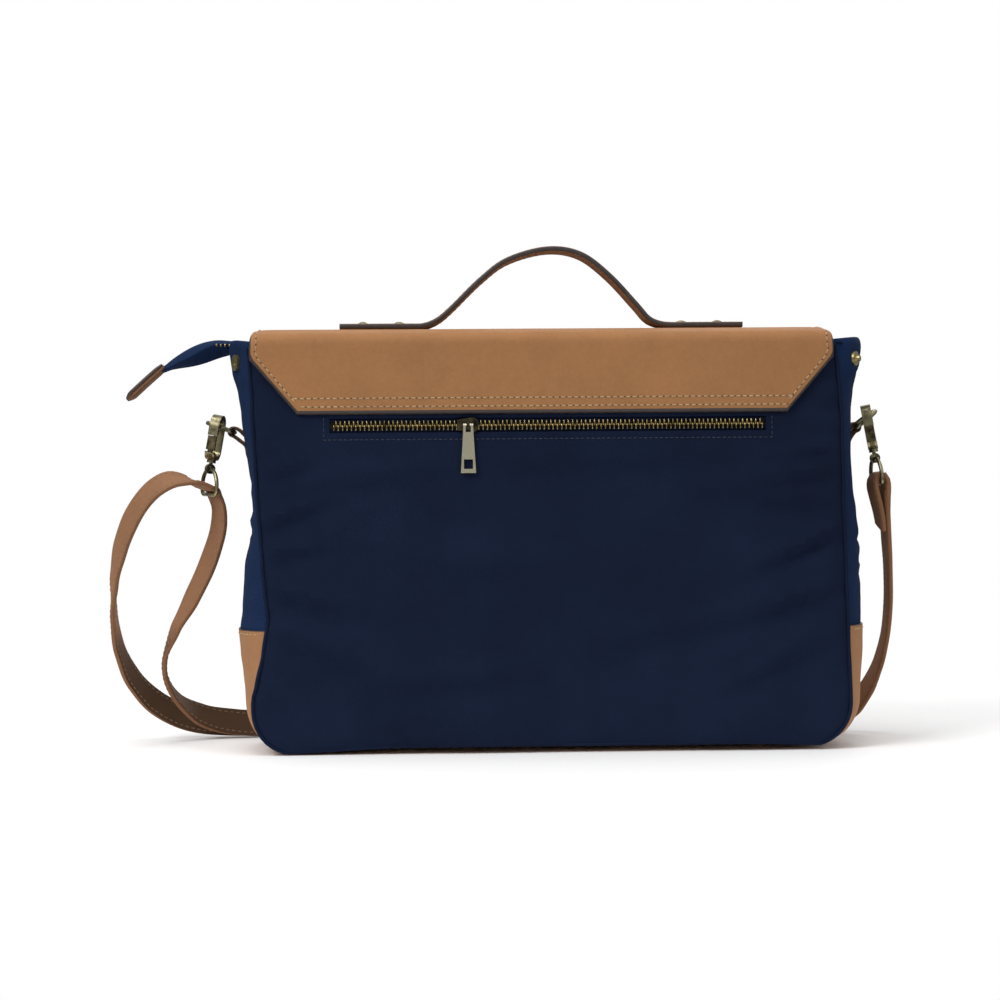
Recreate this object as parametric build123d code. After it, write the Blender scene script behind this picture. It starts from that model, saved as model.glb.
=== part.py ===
"""Messenger bag with a leather flap, top handle, zipped mouth, zipped back pocket and shoulder strap.

Frame: millimetres, +Z up, the bag stands on z = 0 with the origin at the centre of its base.
The back panel faces -Y, the front flap hangs on the +Y side, +X is to the right seen from the back.
"""
from build123d import *

import math
import os

# ---- driving dimensions -------------------------------------------------------------------------
HALF_WIDTH = 195.0          # half the width of the back and front panels
SIDE_BULGE = 18.0           # how far the side gussets swell past the panels at mid depth
BACK_Y = -50.0              # outer face of the back panel
FRONT_Y = 50.0              # outer face of the front panel
BACK_THICK = 4.0
FRONT_THICK = 3.0
PANEL_LOW = 0.5
BACK_TOP = 266.0
FRONT_TOP = 262.0
PANEL_CORNER = 30.0         # radius of the panels' lower corners

SIDE_LOW_Y = BACK_Y + BACK_THICK
SIDE_HIGH_Y = FRONT_Y - FRONT_THICK
BOOT_THICK = 2.5            # leather base and the leather that climbs each side
BOOT_TOP = 80.0
GUSSET_INSET = 2.6
GUSSET_THICK = 2.0
GUSSET_LOW = 72.0
GUSSET_TOP = 258.0
LINING_INSET = 5.0
LINING_THICK = 0.8
LINING_LOW_Y = -40.8
LINING_HIGH_Y = 46.2
LINING_TOP = 252.0
SLEEVE_FACE_Y = -24.0       # back face of the laptop divider
DIVIDER_THICK = 3.0
POCKET_FACE_Y = 39.0        # front face of the inner slip pocket

LEATHER = 3.4               # flap and handle leather
CLEARANCE = 0.3             # gap between curved faces of pieces that turn against each other
FLAP_CENTRE_X = -4.0
FLAP_HALF = 190.0
FOLD_HALF = 188.0
FLAP_BACK_Y = -52.2         # centre plane of the leather behind the bag
FLAP_FRONT_Y = 55.2         # centre plane of the leather in front of the bag
FOLD_Z = 269.0
FLAP_CROWN = 6.0            # rise of the flap's top between its two folds
FLAP_BACK_LOW = 219.0
FLAP_BACK_SHOULDER = 256.0
FLAP_LOW_HALF = 158.5
FLAP_FRONT_LOW = 60.0
FLAP_FRONT_SHOULDER = 100.0

HANDLE_WIDTH = 26.0
RIVET_X = (-122.0, -98.0, 90.0, 114.0)
RIVET_SHANK = 1.5

CHAIN_Z = 264.0             # plane of the zipped mouth
CHAIN_PITCH = 2.83
ROW_INNER = 0.9             # each row of teeth lies between these distances from the chain's centre
ROW_OUTER = 3.5
ROW_HALF_THICK = 1.3
TAPE_THICK = 0.6
WING_HINGE_Y = 41.0
WING_LEFT_X = -187.0
WING_RIGHT_X = 118.0
MAIN_SLIDER_X = 163.0

BACK_CHAIN_Y = -48.3
BACK_CHAIN_Z = 211.9
BACK_ZIP_LEFT = -143.0
BACK_ZIP_RIGHT = 139.0
BACK_SLIDER_X = -54.0
PULL_AXIS = 4.9             # height of the pull's bar over the chain's plane

STRAP_WIDTH = 18.0
STRAP_THICK = 3.2

D_WIRE = 1.5                # wire radii
RING_WIRE = 1.3
RING_HEIGHT = 16.9          # from the ring's bar to the wire at its top
HOOK_HEIGHT = 30.0
HOOK_HALF = 8.0
HOOK_BAND = 2.6
HOOK_HALF_DEPTH = 3.25
EYE_DROP = 6.0              # the swivel eye's centre below the hook
CLASP_Y = -10.9

TOP = 272.0                 # above every wall, for cutting


# ---- helpers --------------------------------------------------------------------------------------
def slab_xz(face, y_low, y_high):
    """Extrude a face drawn as (x, z) between two values of y."""
    plane = Plane((0, y_high, 0), x_dir=(1, 0, 0), z_dir=(0, -1, 0))
    return extrude(plane * face, y_high - y_low)


def slab_yz(face, x_low, x_high):
    """Extrude a face drawn as (y, z) between two values of x."""
    plane = Plane((x_low, 0, 0), x_dir=(0, 1, 0), z_dir=(1, 0, 0))
    return extrude(plane * face, x_high - x_low)


def slab_xy(face, z_low, z_high):
    """Extrude a face drawn as (x, y) between two values of z."""
    return extrude(Pos(0, 0, z_low) * face, z_high - z_low)


def block(x_low, x_high, y_low, y_high, z_low, z_high):
    """Box given by its six sides."""
    size = (x_high - x_low, y_high - y_low, z_high - z_low)
    return Pos((x_low + x_high) / 2, (y_low + y_high) / 2, (z_low + z_high) / 2) * Box(*size)


def polar(centre, radius, degrees):
    """Point on a circle."""
    angle = math.radians(degrees)
    return (centre[0] + radius * math.cos(angle), centre[1] + radius * math.sin(angle))


def arc(centre, radius, start, end):
    """Arc between two angles in degrees."""
    middle = polar(centre, radius, (start + end) / 2)
    return ThreePointArc(polar(centre, radius, start), middle, polar(centre, radius, end))


def polygon(points):
    """Face inside a closed run of straight lines."""
    return make_face(Polyline(*points, close=True))


def outline_face(inset):
    """The bag's outline seen along Y: rolled lower corners, full sides, a slight waist under the mouth."""
    corner = (163.0, 32.0)
    roll = 166.0
    join = math.radians(-30)
    flank = (corner[0] - (roll - corner[1]) * math.cos(join), corner[1] - (roll - corner[1]) * math.sin(join))
    fullest = (flank[0] + roll, flank[1])
    waist = [fullest, (211.0, 125.0), (203.5, 195.0), (203.5, 215.0), (209.0, 262.0), (209.0, TOP)]
    right = [(x - inset, z) for x, z in waist]
    left = [(-x, z) for x, z in right]
    lines = [
        Line((-corner[0], inset), (corner[0], inset)),
        arc(corner, corner[1] - inset, -90, -30),
        arc(flank, roll - inset, -30, 0),
        Polyline(*right),
        Line(right[-1], left[-1]),
        Polyline(*reversed(left)),
        arc((-flank[0], flank[1]), roll - inset, 180, 210),
        arc((-corner[0], corner[1]), corner[1] - inset, 210, 270),
    ]
    return make_face(lines)


def plan_face(inset, y_low, y_high):
    """The bag's outline seen from above: straight panels and bulging sides."""
    side = HALF_WIDTH - inset
    swell = HALF_WIDTH + SIDE_BULGE - inset
    middle = (y_low + y_high) / 2
    lines = [
        Line((-side, y_low), (side, y_low)),
        ThreePointArc((side, y_low), (swell, middle), (side, y_high)),
        Line((side, y_high), (-side, y_high)),
        ThreePointArc((-side, y_high), (-swell, middle), (-side, y_low)),
    ]
    return make_face(lines)


def core(inset, y_low, y_high):
    """The bag's volume, drawn in by an inset at its sides and base."""
    return slab_xz(outline_face(inset), y_low, y_high) & slab_xy(plan_face(inset, y_low, y_high), 0, TOP)


def rounded_panel(half_width, z_low, z_high, radius):
    """Panel outline with rounded lower corners."""
    side = half_width - radius
    lines = [
        Line((-side, z_low), (side, z_low)),
        arc((side, z_low + radius), radius, -90, 0),
        Line((half_width, z_low + radius), (half_width, z_high)),
        Line((half_width, z_high), (-half_width, z_high)),
        Line((-half_width, z_high), (-half_width, z_low + radius)),
        arc((-side, z_low + radius), radius, 180, 270),
    ]
    return make_face(lines)


# ---- shell ----------------------------------------------------------------------------------------
def back_panel():
    """Padded back panel with the window of the back pocket's zip."""
    panel = slab_xz(rounded_panel(HALF_WIDTH, PANEL_LOW, BACK_TOP, PANEL_CORNER), BACK_Y, SIDE_LOW_Y)
    half_window = 7.3
    window = block(BACK_ZIP_LEFT, BACK_ZIP_RIGHT, BACK_Y - 1, SIDE_LOW_Y + 1,
                   BACK_CHAIN_Z - half_window, BACK_CHAIN_Z + half_window)
    return panel - window


def front_panel():
    """Front panel that the flap covers."""
    return slab_xz(rounded_panel(HALF_WIDTH, PANEL_LOW, FRONT_TOP, PANEL_CORNER), SIDE_HIGH_Y, FRONT_Y)


def gusset(side):
    """Cloth side wall above the leather, side = -1 for left, +1 for right."""
    outer = core(GUSSET_INSET, SIDE_LOW_Y, SIDE_HIGH_Y)
    inner = core(GUSSET_INSET + GUSSET_THICK, SIDE_LOW_Y, SIDE_HIGH_Y)
    keep = block(100, 230, BACK_Y, FRONT_Y, GUSSET_LOW, GUSSET_TOP)
    if side < 0:
        keep = mirror(keep, Plane.YZ)
    return (outer - inner) & keep


def leather_base():
    """Leather base that climbs both sides as one piece."""
    shell = core(0, SIDE_LOW_Y, SIDE_HIGH_Y) - core(BOOT_THICK, SIDE_LOW_Y, SIDE_HIGH_Y)
    return shell & block(-230, 230, BACK_Y, FRONT_Y, -1, BOOT_TOP)


def lining():
    """Cloth lining, a pouch open at the top."""
    outer = core(LINING_INSET, LINING_LOW_Y, LINING_HIGH_Y)
    inner = core(LINING_INSET + LINING_THICK, LINING_LOW_Y + LINING_THICK, LINING_HIGH_Y - LINING_THICK)
    return (outer - inner) & block(-230, 230, BACK_Y, FRONT_Y, 0, LINING_TOP)


def base_board():
    """Stiff board between the leather base and the lining."""
    return block(-158, 158, -44, 45, 2.6, 4.9)


def back_foam_pad():
    """Foam between the back pocket and the lining."""
    return slab_xz(rounded_panel(183, 10, 246, 25), -43.9, -40.9)


def laptop_divider():
    """Padded wall of the laptop sleeve."""
    return slab_xz(rounded_panel(184, 6.4, 205, 30), SLEEVE_FACE_Y, SLEEVE_FACE_Y + DIVIDER_THICK)


def inner_pocket():
    """Slip pocket sewn to the lining's front wall, open at the top."""
    wall = LINING_HIGH_Y - LINING_THICK
    outer = block(-95, 95, POCKET_FACE_Y - 1, wall, 62, 180)
    hollow = block(-94, 94, POCKET_FACE_Y, wall + 1, 63, 181)
    return outer - hollow


def top_facing(side):
    """Strip that joins a panel's top edge to the zipped mouth's hinge line."""
    half = TAPE_THICK / 2 + 0.3
    edge = WING_HINGE_Y + 0.6 + CLEARANCE
    strip = block(-190, 190, edge, SIDE_HIGH_Y if side > 0 else -SIDE_LOW_Y, CHAIN_Z - half, CHAIN_Z + half)
    if side > 0:
        riser = block(-190, 190, SIDE_HIGH_Y, SIDE_HIGH_Y + 1.2, FRONT_TOP, CHAIN_Z + half)
        return strip + riser
    return mirror(strip, Plane.XZ)


# ---- flap and handle ------------------------------------------------------------------------------
def flap_back():
    """Leather stitched to the back panel, up to the fold."""
    top = FOLD_Z - LEATHER / 2 - CLEARANCE
    right = [(FLAP_LOW_HALF, FLAP_BACK_LOW), (FLAP_HALF, FLAP_BACK_SHOULDER), (FOLD_HALF, top)]
    points = [(FLAP_CENTRE_X + x, z) for x, z in right] + [(FLAP_CENTRE_X - x, z) for x, z in reversed(right)]
    half = LEATHER / 2
    return slab_xz(polygon(points), FLAP_BACK_Y - half, FLAP_BACK_Y + half)


def flap_top():
    """Crowned leather between the two folds, with a rounded edge on each fold's axis."""
    middle = (FLAP_BACK_Y + FLAP_FRONT_Y) / 2
    half = LEATHER / 2
    rims = []
    for shift in (-half, half):
        rims.append(ThreePointArc((FLAP_BACK_Y, FOLD_Z + shift), (middle, FOLD_Z + FLAP_CROWN + shift),
                                  (FLAP_FRONT_Y, FOLD_Z + shift)))
    ends = [Line((y, FOLD_Z - half), (y, FOLD_Z + half)) for y in (FLAP_BACK_Y, FLAP_FRONT_Y)]
    left = FLAP_CENTRE_X - FOLD_HALF
    right = FLAP_CENTRE_X + FOLD_HALF
    leather = slab_yz(make_face([rims[0], ends[1], rims[1], ends[0]]), left, right)
    for y in (FLAP_BACK_Y, FLAP_FRONT_Y):
        leather += slab_yz(Pos(y, FOLD_Z) * Circle(half), left, right)
    for x in RIVET_X:
        leather -= Pos(x, 0, FOLD_Z + FLAP_CROWN) * Cylinder(RIVET_SHANK, 12)
    return leather


def flap_front():
    """Leather that hangs over the front, with cut corners."""
    top = FOLD_Z - LEATHER / 2 - CLEARANCE
    right = [(FLAP_LOW_HALF, FLAP_FRONT_LOW), (FLAP_HALF, FLAP_FRONT_SHOULDER), (FOLD_HALF, top)]
    points = [(FLAP_CENTRE_X + x, z) for x, z in right] + [(FLAP_CENTRE_X - x, z) for x, z in reversed(right)]
    half = LEATHER / 2
    return slab_xz(polygon(points), FLAP_FRONT_Y - half, FLAP_FRONT_Y + half)


HANDLE_FOOT_Z = FOLD_Z + FLAP_CROWN + LEATHER / 2 + 0.1 + LEATHER / 2
HANDLE_ARCH = [(-64, 289.6), (-44, 309), (-26, 322), (0, 329), (22, 325.6), (41, 311.5), (59, 292)]


def handle_strap():
    """Top handle: two flat feet and an arch between them."""
    foot_left = (-81, HANDLE_FOOT_Z)
    foot_right = (74, HANDLE_FOOT_Z)
    arch = Spline([foot_left] + HANDLE_ARCH + [foot_right], tangents=[(1, 0), (1, -0.25)],
                  tangent_scalars=[0.6, 0.6])
    pieces = trace(Line((-137.5, HANDLE_FOOT_Z), foot_left), LEATHER)
    pieces += trace(arch, LEATHER)
    pieces += trace(Line(foot_right, (129.5, HANDLE_FOOT_Z)), LEATHER)
    handle = slab_xz(pieces, -HANDLE_WIDTH / 2, HANDLE_WIDTH / 2)
    for x in RIVET_X:
        handle -= Pos(x, 0, HANDLE_FOOT_Z) * Cylinder(RIVET_SHANK, 12)
    return handle


def handle_rivets():
    """Domed rivets through the handle's feet and the flap."""
    head_top = HANDLE_FOOT_Z + LEATHER / 2
    tail = FOLD_Z + FLAP_CROWN - LEATHER / 2 - 1.0
    rivets = []
    for x in RIVET_X:
        dome = Pos(x, 0, head_top) * Sphere(5.6) & block(x - 6, x + 6, -6, 6, head_top + 3.6, head_top + 8)
        dome = Pos(0, 0, -3.6) * dome
        shank = Pos(x, 0, (head_top + tail) / 2) * Cylinder(RIVET_SHANK, head_top - tail)
        rivets.append(dome + shank)
    return rivets


def handle_washers():
    """Washers under the flap, one on each rivet."""
    top = FOLD_Z + FLAP_CROWN - LEATHER / 2 - 0.1
    washers = []
    for x in RIVET_X:
        washers.append(Pos(x, 0, top - 0.4) * (Cylinder(4.5, 0.8) - Cylinder(RIVET_SHANK, 2)))
    return washers


MAGNET_X = (-114.0, 106.0)
MAGNET_Z = 92.0


def magnet_discs(y_low, y_high, radius):
    """One disc of a magnetic snap on each side of the flap's front."""
    return [slab_xz(Pos(x, MAGNET_Z) * Circle(radius), y_low, y_high) for x in MAGNET_X]


# ---- zips -----------------------------------------------------------------------------------------
def tooth_row(x_low, x_high):
    """One row of zip teeth as a comb, drawn as (x, y), teeth pointing to y = 0."""
    count = int((x_high - x_low) / CHAIN_PITCH)
    root = (ROW_INNER + ROW_OUTER) / 2 + 0.5
    points = [(x_low, ROW_OUTER), (x_low, root)]
    for index in range(count):
        start = x_low + index * CHAIN_PITCH + 0.6
        points += [(start, root), (start, ROW_INNER), (start + 1.5, ROW_INNER), (start + 1.5, root)]
    points += [(x_high, root), (x_high, ROW_OUTER)]
    return slab_xy(polygon(points), -ROW_HALF_THICK, ROW_HALF_THICK)


def on_back(shape, x, normal_shift=0.0):
    """Carry a shape drawn on the XY plane to the back pocket's chain."""
    return Pos(x, BACK_CHAIN_Y - normal_shift, BACK_CHAIN_Z) * Rot(90, 0, 0) * shape


def zip_slider(turn):
    """Slider drawn round the origin: two plates, a post, side flanges and a bridge for the pull."""
    plate_gap = 1.6
    plate_thick = 1.5
    outline = make_face([
        Line((-7, -3.4), (3, -5)),
        ThreePointArc((3, -5), (7, 0), (3, 5)),
        Line((3, 5), (-7, 3.4)),
        Line((-7, 3.4), (-7, -3.4)),
    ])
    top = slab_xy(outline, plate_gap, plate_gap + plate_thick)
    bottom = slab_xy(outline, -plate_gap - plate_thick, -plate_gap)
    body = top + bottom + block(2.2, 5.0, -0.7, 0.7, -plate_gap, plate_gap)
    bridge_low = plate_gap + plate_thick
    bridge = block(-1, 1, -3, 3, bridge_low - 0.2, 7.0) - block(-2, 2, -1.8, 1.8, bridge_low - 0.3, 6.0)
    return body + Rot(0, 0, turn) * bridge


def zip_pull():
    """Brass pull drawn flat, its bar on the X axis and its blade along -Y."""
    blade = polygon([(-3.2, 0), (-3.4, -6), (-4.9, -31), (4.9, -31), (3.4, -6), (3.2, 0)])
    pull = slab_xy(blade, -0.8, 0.8)
    pull += Rot(0, 90, 0) * Cylinder(0.9, 6.4)
    pull -= block(-1.6, 1.6, -4.6, -0.6, -2, 2)
    pull -= block(-2.9, 2.9, -28.3, -22.2, -2, 2)
    return pull


def back_zip_tape():
    """Two strips of tape that fill the window beside the chain."""
    half_window = 7.3
    strip = block(BACK_ZIP_LEFT, BACK_ZIP_RIGHT, ROW_OUTER, half_window, -TAPE_THICK / 2, TAPE_THICK / 2)
    strips = [strip, mirror(strip, Plane.XZ)]
    return [on_back(piece, 0) for piece in strips]


def back_zip_teeth():
    """Both rows of the back pocket's chain."""
    row = tooth_row(BACK_ZIP_LEFT + 1, BACK_ZIP_RIGHT - 1)
    return [on_back(piece, 0) for piece in (row, mirror(row, Plane.XZ))]


def back_pocket_bag():
    """Flat cloth bag behind the back panel, its front sheet ending below the zip."""
    outer = block(-150, 146, -45.9, -44.0, 60, 226)
    hollow = block(-149, 145, -45.3, -44.6, 61, 227)
    mouth = block(-151, 147, -46.5, -44.9, 204, 227)
    return outer - hollow - mouth


def wing(side):
    """Cloth wing from the hinge line to the chain, with a rolled edge on the hinge."""
    half = TAPE_THICK / 2
    cloth = block(WING_LEFT_X, WING_RIGHT_X, ROW_OUTER, WING_HINGE_Y, CHAIN_Z - half, CHAIN_Z + half)
    roll = slab_yz(Pos(WING_HINGE_Y, CHAIN_Z) * Circle(0.6), WING_LEFT_X, WING_RIGHT_X)
    piece = cloth + roll
    return piece if side > 0 else mirror(piece, Plane.XZ)


def main_teeth(x_low, x_high, side):
    """One row of the mouth's chain."""
    row = Pos(0, 0, CHAIN_Z) * tooth_row(x_low, x_high)
    return row if side > 0 else mirror(row, Plane.XZ)


def zip_end_cloth(x_low, x_high, y_limit):
    """Cloth that carries the fixed ends of the mouth's chain."""
    half = TAPE_THICK / 2
    strip = block(x_low, x_high, ROW_OUTER, y_limit, CHAIN_Z - half, CHAIN_Z + half)
    return [strip, mirror(strip, Plane.XZ)]


def zip_tail():
    """Folded tape that hangs past the left side."""
    points = [(-212.5, 261.5), (-212.5, 266.5), (-219, 270.5), (-228, 270), (-237, 266), (-249, 258.5),
              (-254.5, 254), (-250, 251.5), (-241, 252.5), (-228, 256.5)]
    return slab_xz(polygon(points), -9, 9)


def zip_tail_tab():
    """Leather tab sewn over the tail's end."""
    tab = Box(32, 18, 5)
    return Pos(-266.4, 0, 242.3) * Rot(0, -42, 0) * tab


# ---- rings and clasps -----------------------------------------------------------------------------
def place(point, tilt, yaw):
    """Location that turns a piece about its own Z and then tilts it about Y."""
    return Pos(*point) * Rot(0, tilt, 0) * Rot(0, 0, yaw)


def along(tilt, distance):
    """Offset in x and z of a point at a distance along a tilted piece's own Z."""
    angle = math.radians(tilt)
    return (distance * math.sin(angle), distance * math.cos(angle))


class Side:
    """Places of the D-ring, clasp and ring on one side of the bag.

    The D-ring's bar is at bar (x, z) and it rises outwards by rise degrees. The hook hangs at the
    distance reach from the bar, and the D-ring's wire lies in the hook at the height rest.
    """

    def __init__(self, sign, bar, rise, reach, rest, clasp_yaw, ring_yaw, clasp_tilt, ring_tilt):
        self.sign = sign
        self.bar = bar
        self.rise = rise
        self.clasp_yaw = clasp_yaw
        self.ring_yaw = ring_yaw
        self.clasp_tilt = clasp_tilt
        self.ring_tilt = ring_tilt
        wire = (bar[0] + sign * reach * math.cos(math.radians(rise)),
                bar[1] + reach * math.sin(math.radians(rise)))
        drop = along(clasp_tilt, rest)
        self.hook = (wire[0] - drop[0], CLASP_Y, wire[1] - drop[1])
        drop = along(clasp_tilt, EYE_DROP)
        self.eye = (self.hook[0] - drop[0], CLASP_Y, self.hook[2] - drop[1])
        drop = along(ring_tilt, RING_HEIGHT)
        self.ring_bar = (self.eye[0] - drop[0], CLASP_Y, self.eye[2] - drop[1])


LEFT = Side(-1, (-208.5, 209.5), 20.0, 10.5, 22.4, clasp_yaw=-12, ring_yaw=30, clasp_tilt=10.4, ring_tilt=2.0)
RIGHT = Side(1, (205.5, 209.5), 38.0, 9.2, 20.6, clasp_yaw=-10, ring_yaw=8, clasp_tilt=-10.4, ring_tilt=-5.0)


def wire_loop(path, start, direction, radius):
    """Wire of round section swept along a closed path."""
    section = Plane(start, z_dir=direction) * Circle(radius)
    return sweep(section, path=path)


def d_loop(half, far, wire):
    """D-shaped loop drawn on the YZ plane, its bar along Y at z = 0 and its round top at z = far."""
    corner = 3.0
    cut = corner * (1 - math.sqrt(0.5))
    straight = far - half
    lines = [
        Line((0, -half + corner, 0), (0, half - corner, 0)),
        ThreePointArc((0, half - corner, 0), (0, half - cut, cut), (0, half, corner)),
        Line((0, half, corner), (0, half, straight)),
        ThreePointArc((0, half, straight), (0, 0, far), (0, -half, straight)),
        Line((0, -half, straight), (0, -half, corner)),
        ThreePointArc((0, -half, corner), (0, -half + cut, cut), (0, -half + corner, 0)),
    ]
    return wire_loop(Wire(lines), (0, -half + corner, 0), (0, 1, 0), wire)


def d_ring(side):
    """D-ring standing out of its leather loop."""
    lean = side.sign * (90 - side.rise)
    return Pos(side.bar[0], 0, side.bar[1]) * Rot(0, lean, 0) * d_loop(11.5, 18.0, D_WIRE)


def d_ring_tab(side):
    """Leather loop that holds the D-ring's bar, sewn to the gusset."""
    x, z = side.bar
    sign = side.sign
    wall_low = sign * 203.5
    wall = sign * 201.1
    outer = 4.3
    body = polygon([(wall_low, z - 36), (wall_low + sign * 2.6, z - 36), (wall + sign * 2.9, z - 14),
                    (x + sign * 1.5, z - 4.0), (x, z + outer), (wall, z + 2), (wall, z - 14)])
    tab = slab_xz(body, -9.3, 9.3)
    tab += slab_xz(Pos(x, z) * Circle(outer), -9.3, 9.3)
    bore = slab_xz(Pos(x, z) * Circle(D_WIRE + CLEARANCE), -10, 10)
    return tab - bore


def strap_ring(side):
    """Ring that the shoulder strap passes through."""
    loop = d_loop(10.9, RING_HEIGHT, RING_WIRE)
    return place(side.ring_bar, side.ring_tilt, side.ring_yaw) * loop


def swivel(side):
    """Eye round the ring's wire with a pin that turns in the clasp."""
    eye = slab_xz(Circle(3.3) - Circle(RING_WIRE + CLEARANCE), -1.4, 1.4)
    pin_low = 2.6
    pin_high = EYE_DROP + 3.2
    pin = Pos(0, 0, (pin_low + pin_high) / 2) * Cylinder(1.22, pin_high - pin_low)
    head = Pos(0, 0, EYE_DROP + 3.0 + 0.6) * Cylinder(2.2, 1.2)
    return place(side.eye, side.clasp_tilt, side.ring_yaw) * (eye + pin + head)


GATE_PIVOT = (-6.7, 3.6)    # y and z in the hook
GATE_TOP = 15.7


def hook_face(inset):
    """Outline of the hook, drawn as (y, z)."""
    half = HOOK_HALF - inset
    foot = 6.0 - inset
    centre = HOOK_HEIGHT - HOOK_HALF
    low = inset
    lines = [
        Line((-half + foot, low), (half - foot, low)),
        arc((half - foot, low + foot), foot, -90, 0),
        Line((half, low + foot), (half, centre)),
        ThreePointArc((half, centre), (0, HOOK_HEIGHT - inset), (-half, centre)),
        Line((-half, centre), (-half, low + foot)),
        arc((-half + foot, low + foot), foot, 180, 270),
    ]
    return make_face(lines)


def clasp(side):
    """Hook of the trigger clasp with its boss, nose and gate fork."""
    depth = HOOK_HALF_DEPTH
    hook = slab_yz(hook_face(0), -depth, depth) - slab_yz(hook_face(HOOK_BAND), -depth - 1, depth + 1)
    hook += Pos(0, 0, -0.6) * Cylinder(3.0, 2.8)
    hook -= Pos(0, 0, 1) * Cylinder(1.3, 8)
    hook -= block(-5, 5, -9, -4.9, 5.2, GATE_TOP + CLEARANCE)
    hook -= block(-1.7, 1.7, -9, -4.9, 1.9, 6)
    hook -= slab_yz(Pos(*GATE_PIVOT) * Circle(0.6), -5, 5)
    return place(side.hook, side.clasp_tilt, side.clasp_yaw) * hook


def gate_pin(side):
    """Pin that the gate turns on."""
    pin = slab_yz(Pos(*GATE_PIVOT) * Circle(0.6), -HOOK_HALF_DEPTH, HOOK_HALF_DEPTH)
    return place(side.hook, side.clasp_tilt, side.clasp_yaw) * pin


def gate(side):
    """Sprung gate that closes the hook."""
    blade = block(-2.9, 2.9, -7.8, -5.7, 6.4, GATE_TOP)
    neck = block(-1.6, 1.6, -7.8, -5.7, 3.6, 6.6)
    eye = slab_yz(Pos(*GATE_PIVOT) * Circle(1.45), -1.6, 1.6)
    bore = slab_yz(Pos(*GATE_PIVOT) * Circle(0.66), -3, 3)
    return place(side.hook, side.clasp_tilt, side.clasp_yaw) * (blade + neck + eye - bore)


# ---- snaps ----------------------------------------------------------------------------------------
SNAP_Z = 254.0
SNAP_GAP = 0.1
SNAP_TURN = {-1: 25.5, 1: 33.0}     # how far the left and right snaps face off the bag's length


def on_gusset(snap, sign, toward):
    """Seat a snap drawn along +X on the curved part of a gusset, toward = -1 for the back."""
    half_depth = (SIDE_HIGH_Y - SIDE_LOW_Y) / 2
    middle = (SIDE_HIGH_Y + SIDE_LOW_Y) / 2
    radius = (half_depth ** 2 + SIDE_BULGE ** 2) / (2 * SIDE_BULGE)
    centre = Pos(HALF_WIDTH + SIDE_BULGE - GUSSET_INSET - radius, middle, SNAP_Z)
    placed = centre * Rot(0, 0, toward * SNAP_TURN[sign]) * Pos(radius + SNAP_GAP, 0, 0) * snap
    return placed if sign > 0 else mirror(placed, Plane.YZ)


def snap_socket(sign, toward):
    """Ring-shaped snap cap on a gusset's outer face."""
    cap = Pos(1.0, 0, 0) * Rot(0, 90, 0) * (Cylinder(5.2, 2.0) - Pos(0, 0, 0.7) * Cylinder(2.1, 1.6))
    return on_gusset(cap, sign, toward)


def snap_stud(sign, toward):
    """Snap disc with a knob on a gusset's outer face."""
    disc = Pos(0.7, 0, 0) * Rot(0, 90, 0) * Cylinder(4.8, 1.4)
    knob = Pos(2.6, 0, 0) * Rot(0, 90, 0) * Cylinder(1.9, 3.0)
    return on_gusset(disc + knob, sign, toward)


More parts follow.
